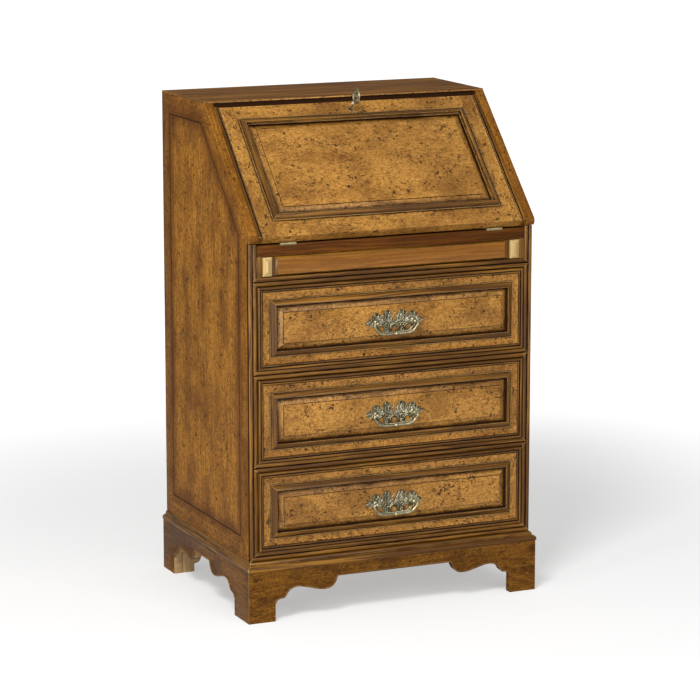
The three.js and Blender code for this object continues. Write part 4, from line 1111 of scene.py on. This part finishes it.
def makeLock():
    brassWork = ("brass", [hingeBrass])
    cover("lock_case", "brass", soften(nodeCopy("lock_case"), 0.35 * mm, 1, 40), *brassWork, "fall", 35)
    screws = []
    for x, y in ((-23, -14), (23, -14), (-23, 12), (23, 12)):
        seat = Matrix.Translation((x * mm, keyPlace + y * mm, -fallThickness))
        screws.append(screwHead(2.2, fallSpace @ seat @ faceDown))
    addPiece("lock_screws", joined(*screws), "fall", *brassWork)
    cover("lock_bolt", "brass", soften(nodeCopy("lock_bolt"), 0.4 * mm, 2, 40), *brassWork, "bolt", 35)
    # The escutcheon round the keyhole is oval.
    rim = turned([(3.4, 0), (3.2, 0.7), (3.7, 1.3), (4.6, 1.3), (5.0, 0.6), (5.0, 0), (3.4, 0)], 28)
    bmesh.ops.scale(rim, vec=(0.98, 1.55, 1), verts=rim.verts)
    addPiece("keyhole_escutcheon", rim, "fall", "brass", [antiqueBrass], (), 40,
             fallSpace @ Matrix.Translation((0, keyPlace - 1.5 * mm, -2.6 * mm)))


def makeHinges():
    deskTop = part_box("desk_board")[1].z
    fixedY = jointPlaces["fall_hinge"].y + 14 * mm
    for side, x in (("left", -hingeX), ("right", hingeX)):
        leaves = ((f"hinge_fixed_{side}", "carcass"), (f"hinge_moving_{side}", "fall"))
        for name, body in leaves:
            leafMesh = soften(nodeCopy(name), 0.25 * mm, 1, 50)
            cover(name, "brass", leafMesh, "brass", [hingeBrass], body, 35)
        seats = (Matrix.Translation((x, fixedY, deskTop - 0.05 * mm)),
                 fallSpace @ Matrix.Translation((x, 12 * mm, -21.95 * mm)) @ faceDown)
        for (name, body), seat in zip(leaves, seats):
            heads = [screwHead(2, seat @ Matrix.Translation((dx * mm, 0, 0))) for dx in (-11, 0, 11)]
            addPiece(name + "_screws", joined(*heads), body, "brass", [hingeBrass])


makeFall()
makeLeather()
makeLock()
makeHinges()
print("stage: fall made")


# Points of a scroll: an arc whose radius runs from r0 to r1 while it turns from a0 to a1 degrees.
def scroll(cx, cz, r0, r1, a0, a1, thick, y=0.0, count=12):
    points = []
    for step in range(count):
        share = step / (count - 1)
        angle = math.radians(a0 + (a1 - a0) * share)
        radius = r0 + (r1 - r0) * share
        swell = thick * (0.55 + 0.45 * math.sin(math.pi * min(1, share * 1.15)))
        points.append(((cx + radius * math.cos(angle)) * mm, y * mm, (cz + radius * math.sin(angle)) * mm,
                       swell * mm))
    return points


# Strands of one leaf: two edges that meet at the tip, and a midrib.
def leaf(x, z, angle, length, width, thick=0.8, y=0.0):
    lines = []
    turn = math.radians(angle)
    for side in (-1, 0, 1):
        points = []
        for step in range(8):
            share = step / 7
            out = length * share
            off = side * width / 2 * math.sin(math.pi * share ** 0.75)
            px = x + out * math.cos(turn) - off * math.sin(turn)
            pz = z + out * math.sin(turn) + off * math.cos(turn)
            lift = 0.7 * math.sin(math.pi * share) * (1 if side == 0 else 0.4)
            radius = thick * (0.9 - 0.55 * share) * (0.75 if side == 0 else 1)
            points.append((px * mm, (y - lift) * mm, pz * mm, radius * mm))
        lines.append(points)
    return lines


def handlePattern():
    lines = []
    for side in (1, -1):
        def flip(points):
            return [(px * side, py, pz, radius) for px, py, pz, radius in points]

        made = []
        # inner crest, outer crest and side tip are fans of leaves
        for x, z, angle, length, width in (
                (9, 3, 82, 17, 5.5), (14, 3, 74, 19, 6), (19, 2, 62, 16, 5.5), (23, 2, 40, 9, 4.5),
                (34, 1, 86, 15, 5.5), (38, 1, 68, 17, 6), (42, 1, 48, 13, 5), (46, 1, 30, 10, 4.5),
                (46, 0, 8, 15.5, 5), (44, -2, -14, 10, 4.5), (33, 2, 112, 11, 4.5), (30, 3, 132, 7, 4)):
            made += leaf(x, z, angle, length, width)
        # arches, then curls: centre, first and last radius, first and last angle, thickness
        for curl in (
                (0, 8.5, 7.5, 6.5, -90, 8, 1.0), (0, 7.5, 4.0, 3.4, -90, 20, 0.8), (0, -10, 8.6, 8.6, 90, 0, 1.1),
                (0, -10, 11.2, 10.8, 90, 12, 0.8), (28.5, -9, 6.6, 6.6, 182, 10, 1.1),
                (28.5, -8, 9.2, 8.8, 168, 20, 0.8), (17.5, -3.5, 5.5, 1.2, 250, -130, 0.95),
                (17.5, -14, 4.6, 1.1, 60, 420, 0.85), (9.5, 0.5, 4.2, 1.0, 200, -130, 0.85),
                (25, 3.5, 4.4, 1.0, -60, 280, 0.85), (40, -6.5, 4.4, 1.2, 140, -180, 0.85),
                (47, 0.5, 3.2, 0.8, 210, -120, 0.8), (6, 14, 5, 1.2, 130, 400, 0.75)):
            made.append(scroll(*curl))
        made.append([(x * mm, 0, z * mm, 1.15 * mm) for x, z in (
            (0, -21), (7, -20.8), (14, -20.4), (22, -20.2), (29, -19.8), (33, -17.6), (36.5, -13.6), (38.6, -9))])
        made.append([(x * mm, -0.3 * mm, z * mm, 0.8 * mm) for x, z in (
            (0, -18.6), (8, -18.2), (16, -18), (24, -17.6), (30, -16.6), (33.5, -13.5), (36, -9))])
        lines += [flip(points) for points in made]
    return lines


def handlePlateBase(thickness):
    outline = [(0, 4), (5, 8), (9, 18.5), (15, 21.5), (22.5, 19.5), (25.5, 11), (28.8, 8.5), (32, 15.5),
               (38, 17.8), (45, 16.2), (48.5, 11), (55, 7), (61, 1.8), (54, -1.2), (46, -2.8), (42, -8),
               (38.5, -14), (33, -19.5), (27, -21.5), (14, -21.3)]
    outline += [(0, -21.8)] + [(-x, z) for x, z in reversed(outline[1:])]
    arches = [[(-4.6, -15.6), (4.6, -15.6), (5.6, -10.5), (0, -5.4), (-5.6, -10.5)]]
    for x in (-28.5, 28.5):
        arches.append([(x - 4.2, -15.8), (x + 4.2, -15.8), (x + 4.8, -10), (x, -3.6), (x - 4.8, -10)])
    outlines = [[((x * mm, z * mm),) for x, z in points] for points in [outline] + arches]
    bm = outlineBoard(outlines, thickness, 0.35 * mm, 5, False)
    bm.transform(tipForward)
    return bm


def makeHandle(number, plateMesh):
    values = {"postX": 40, "postInset": 1.6, "knopDrop": 22}
    low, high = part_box(f"handle_{number}_plate")
    axis = jointPlaces[f"bail_{number}_lift"]
    centre = Vector((0, high.y, (low.z + high.z) / 2))
    plate = plateMesh.copy()
    plate.transform(Matrix.Translation(centre))
    posts = []
    for x in (-values["postX"] * mm, values["postX"] * mm):
        post = turned([(0, 0), (5.4, 0), (5.4, 0.8), (3.0, 2.4), (2.5, 4.6), (3.4, 6.2), (4.0, 8.6), (3.7, 10.8),
                       (2.2, 12.4), (0, 12.8)])
        post.transform(Matrix.Translation((x, high.y - values["postInset"] * mm, axis.z)) @ tipForward)
        posts.append(post)
    cover(f"handle_{number}_plate", "cast", joined(plate, *posts), "brass", [antiqueBrass, darkBrass],
          f"drawer_{number}", 40)

    path = [(35.6, 0, 1.5), (41, 0, 1.8), (45.2, -0.6, 2.2), (46.9, -3.2, 2.3), (45.2, -8, 2.1),
            (41.5, -13.4, 2.2), (37, -18, 2.6), (31, -20.6, 2.9), (22, -21.8, 2.5), (12, -22, 2.1),
            (4.5, -22, 1.9)]
    whole = path + [(-x, z, radius) for x, z, radius in reversed(path)]
    line = [(x * mm, axis.y, axis.z + z * mm, radius * mm) for x, z, radius in whole]
    wire = strands([line], 3, True)
    half = [(1.6, -4.2), (2.3, -3.2), (2.0, -2.6), (3.2, -1.6)]
    outline = [(0, -4.4)] + half + [(3.6, 0)] + [(radius, -z) for radius, z in reversed(half)] + [(0, 4.4)]
    knop = turned(outline, 18)
    knop.transform(Matrix.Translation((0, axis.y, axis.z - values["knopDrop"] * mm)) @ layAcross)
    cover(f"handle_{number}_bail", "cast", joined(wire, knop), "brass", [antiqueBrass], f"bail_{number}", 50)


def makeHandles():
    relief = strands(handlePattern(), 1)
    bmesh.ops.translate(relief, verts=relief.verts, vec=(0, -1.5 * mm, 0))
    base = handlePlateBase(1.5 * mm)
    bmesh.ops.translate(base, verts=base.verts, vec=(0, -0.75 * mm, 0))
    for face in base.faces:
        face.material_index = 1
    plateMesh = joined(base, relief)
    crestRise = 1.2
    for vert in plateMesh.verts:
        if vert.co.z > 0:
            vert.co.z *= crestRise
    for number in (1, 2, 3):
        makeHandle(number, plateMesh)
    plateMesh.free()


def makeKey():
    bowCentre = 38
    shank = turned([(0, -18.5), (2.4, -18.5), (2.4, 12), (3.4, 12.6), (3.4, 13.8), (2.3, 14.6), (2.3, 16.2),
                    (3.9, 17.2), (4.2, 18.6), (3.2, 20), (2.2, 21.2), (1.8, 22.6), (0, 22.8)], 18)
    bit = soften(blockMesh((-mm, -7.5 * mm, -18.5 * mm), (mm, -1.5 * mm, -13.5 * mm)), 0.25 * mm, 1)

    def ring(points):
        return [(0, y * mm, (bowCentre + z) * mm, radius * mm) for y, z, radius in points]

    rimRadius = 15.2
    rim = [(math.cos(turn) * rimRadius, math.sin(turn) * rimRadius, 1.8 + 0.5 * math.cos(turn * 6))
           for turn in [math.tau * step / 36 for step in range(36)]]
    lines = []
    for side in (1, -1):
        for cy, cz, r0, r1, a0, a1 in ((6.5, 6, 6, 1.5, -100, 250), (6.5, -5.5, 5.6, 1.4, 100, -240),
                                       (10.5, 0.2, 3.6, 1, 180, -160), (3.2, 0.3, 3.2, 1, 0, 330)):
            arc = scroll(cy, cz, r0, r1, a0, a1, 1.35, 0, 14)
            lines.append([(0, side * y, bowCentre * mm + z, radius) for y, _, z, radius in arc])
    lines.append(ring([(0, -15, 1.6), (0, -8, 1.2), (0, 0, 1.6), (0, 8, 1.2), (0, 15, 1.4)]))
    inner = strands(lines, 1)
    outer = strands([ring(rim)], 2, True, True)
    place = fallSpace @ Matrix.Translation((0, keyPlace, 0))
    cover("key", "brass", joined(shank, bit, outer, inner), "brass", [antiqueBrass], "desk_key", 45, place)


makeHandles()
makeKey()
print("stage: handles and key made")


def makeGallery():
    walnut = ("walnut", [brownWood])
    cover("gallery_shelf", "board", soften(blockMesh(*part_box("gallery_shelf")), 1.2 * mm, 3), *walnut)
    for side in ("left", "right"):
        post, divider, drawer, knob = [f"gallery_{kind}_{side}" for kind in ("post", "divider", "drawer", "knob")]
        cover(post, "board", soften(blockMesh(*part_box(post)), 1.0 * mm, 3), *walnut)
        low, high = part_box(divider)
        depth, rise = high.y - low.y, high.z - low.z
        waist = Vector((depth - 24 * mm, rise * 0.4))
        shoulder = Vector((depth - 8 * mm, rise * 0.72))
        corners = [Vector((0, 0)), Vector((depth - 8 * mm, 0)), Vector((depth, 8 * mm)), waist, shoulder,
                   Vector((depth, rise - 6 * mm)), Vector((depth, rise)), Vector((0, rise))]
        knots = [(corner, corner, corner) for corner in corners]
        handles = {1: ((0, 0), (7, 0)), 2: ((0, -5), (0, 18)), 3: ((0, -14), (0, 16)), 4: ((-3, -10), (4, 12))}
        for index, sides in handles.items():
            before, after = [corners[index] + Vector(offset) * mm for offset in sides]
            knots[index] = (corners[index], before, after)
        board = outlineBoard([knots], high.x - low.x, 0.8 * mm)
        stand = Matrix.Translation(((low.x + high.x) / 2, high.y, low.z)) @ standSideways
        cover(divider, "board", board, *walnut, sharp=40, place=stand)

        bm = soften(nodeCopy(drawer), 0.5 * mm, 1)
        stepRings(bm, largestFacing(bm, front), [(1.5, 0), (0.5, -0.8), (0.5, 0), (0.3, 0.5), (0.8, 0.3),
                                                 (0.8, -0.3), (0.3, -0.5)])
        cover(drawer, "box", bm, "walnut", [honeyInside], f"small_drawer_{side}", 35)
        low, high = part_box(knob)
        grip = turned([(0, 0), (3.8, 0), (3.8, 0.9), (2.4, 1.8), (2.0, 4.2), (3.2, 5.6), (5.4, 6.8), (6.0, 8.6),
                       (5.4, 10.6), (3.4, 12.2), (1.2, 12.7), (0, 12.7)], 24)
        place = Matrix.Translation(((low.x + high.x) / 2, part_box(drawer)[0].y, (low.z + high.z) / 2))
        cover(knob, "brass", grip, "brass", [hingeBrass], f"small_drawer_{side}", 50, place @ tipForward)


honeyInside = grainMaterial("gallery grain",
    light=(0.4, 0.2, 0.06), shade=(0.24, 0.105, 0.028), dark=(0.05, 0.018, 0.005), edge=(0.5, 0.3, 0.12),
    hollow=0.004, glaze=0.85, worn=0.4, rough=0.42, coat=0.25)
makeGallery()
print("stage: writing interior made")


def makeStage():
    bm = bmesh.new()
    bmesh.ops.create_grid(bm, x_segments=1, y_segments=1, size=40)
    mesh = meshOf(bm, "floor")
    # The floor glows white to the camera further out, a painted light that is dimmer near the desk, and throws
    # little light back up.
    values = {"grey": 0.62, "near": 0.7, "far": 2.6, "nearGlow": 0.42, "farGlow": 0.9, "sky": 0.3, "target": 0.5}
    grey = values["grey"]
    constants = {"Roughness": 0.9, "Specular IOR Level": 0.0, "Base Color": (grey, grey, grey, 1),
                 "Emission Color": (1, 1, 1, 1)}
    material, tree, surface, _ = newMaterial("pale floor", constants, {})
    away = vectorMath(tree, "LENGTH", objectPlace(tree))["Value"]
    glow = spread(tree, away, values["near"], values["far"], values["nearGlow"], values["farGlow"])
    seen = node(tree, "LightPath").outputs["Is Camera Ray"]
    tree.links.new(times(tree, glow, seen), surface["Emission Strength"])
    mesh.materials.append(material)
    floor = newObject("floor", mesh)

    world = bpy.data.worlds.new("studio")
    bpy.context.scene.world = world
    world.use_nodes = True
    sky = world.node_tree.nodes["Background"].inputs
    sky["Color"].default_value = (1, 1, 1, 1)
    sky["Strength"].default_value = values["sky"]

    lamps = {
        "key": {"place": (-2.05, -2.44, 3.68), "size": 1.2, "power": 132},
        "side": {"place": (-3.97, -1.77, 0.55), "size": 0.9, "power": 60},
        "sheen": {"place": (-1.46, -4.78, 0.4), "size": 0.7, "power": 50},
        "fill": {"place": (0.9, -4.3, 3.3), "size": 2.6, "power": 50},
    }
    for name, lampValues in lamps.items():
        data = bpy.data.lights.new(name, "AREA")
        data.size = lampValues["size"]
        data.energy = lampValues["power"]
        lamp = newObject(name, data)
        lamp.location = lampValues["place"]
        lamp.rotation_euler = (up * values["target"] - lamp.location).to_track_quat("-Z", "Y").to_euler()


def makeCamera():
    values = {"place": (-2.44064, -5.46915, 1.66105), "down": 11.151, "turn": -24.098, "lens": 154.28}
    data = bpy.data.cameras.new("camera")
    data.lens = values["lens"]
    data.sensor_width = 36
    data.clip_end = 100
    camera = newObject("camera", data)
    camera.location = values["place"]
    camera.rotation_euler = (math.radians(90 - values["down"]), 0, math.radians(values["turn"]))
    bpy.context.scene.camera = camera


makeStage()
makeCamera()
bpy.context.scene.view_settings.view_transform = "Standard"
print("stage: lights and camera made")
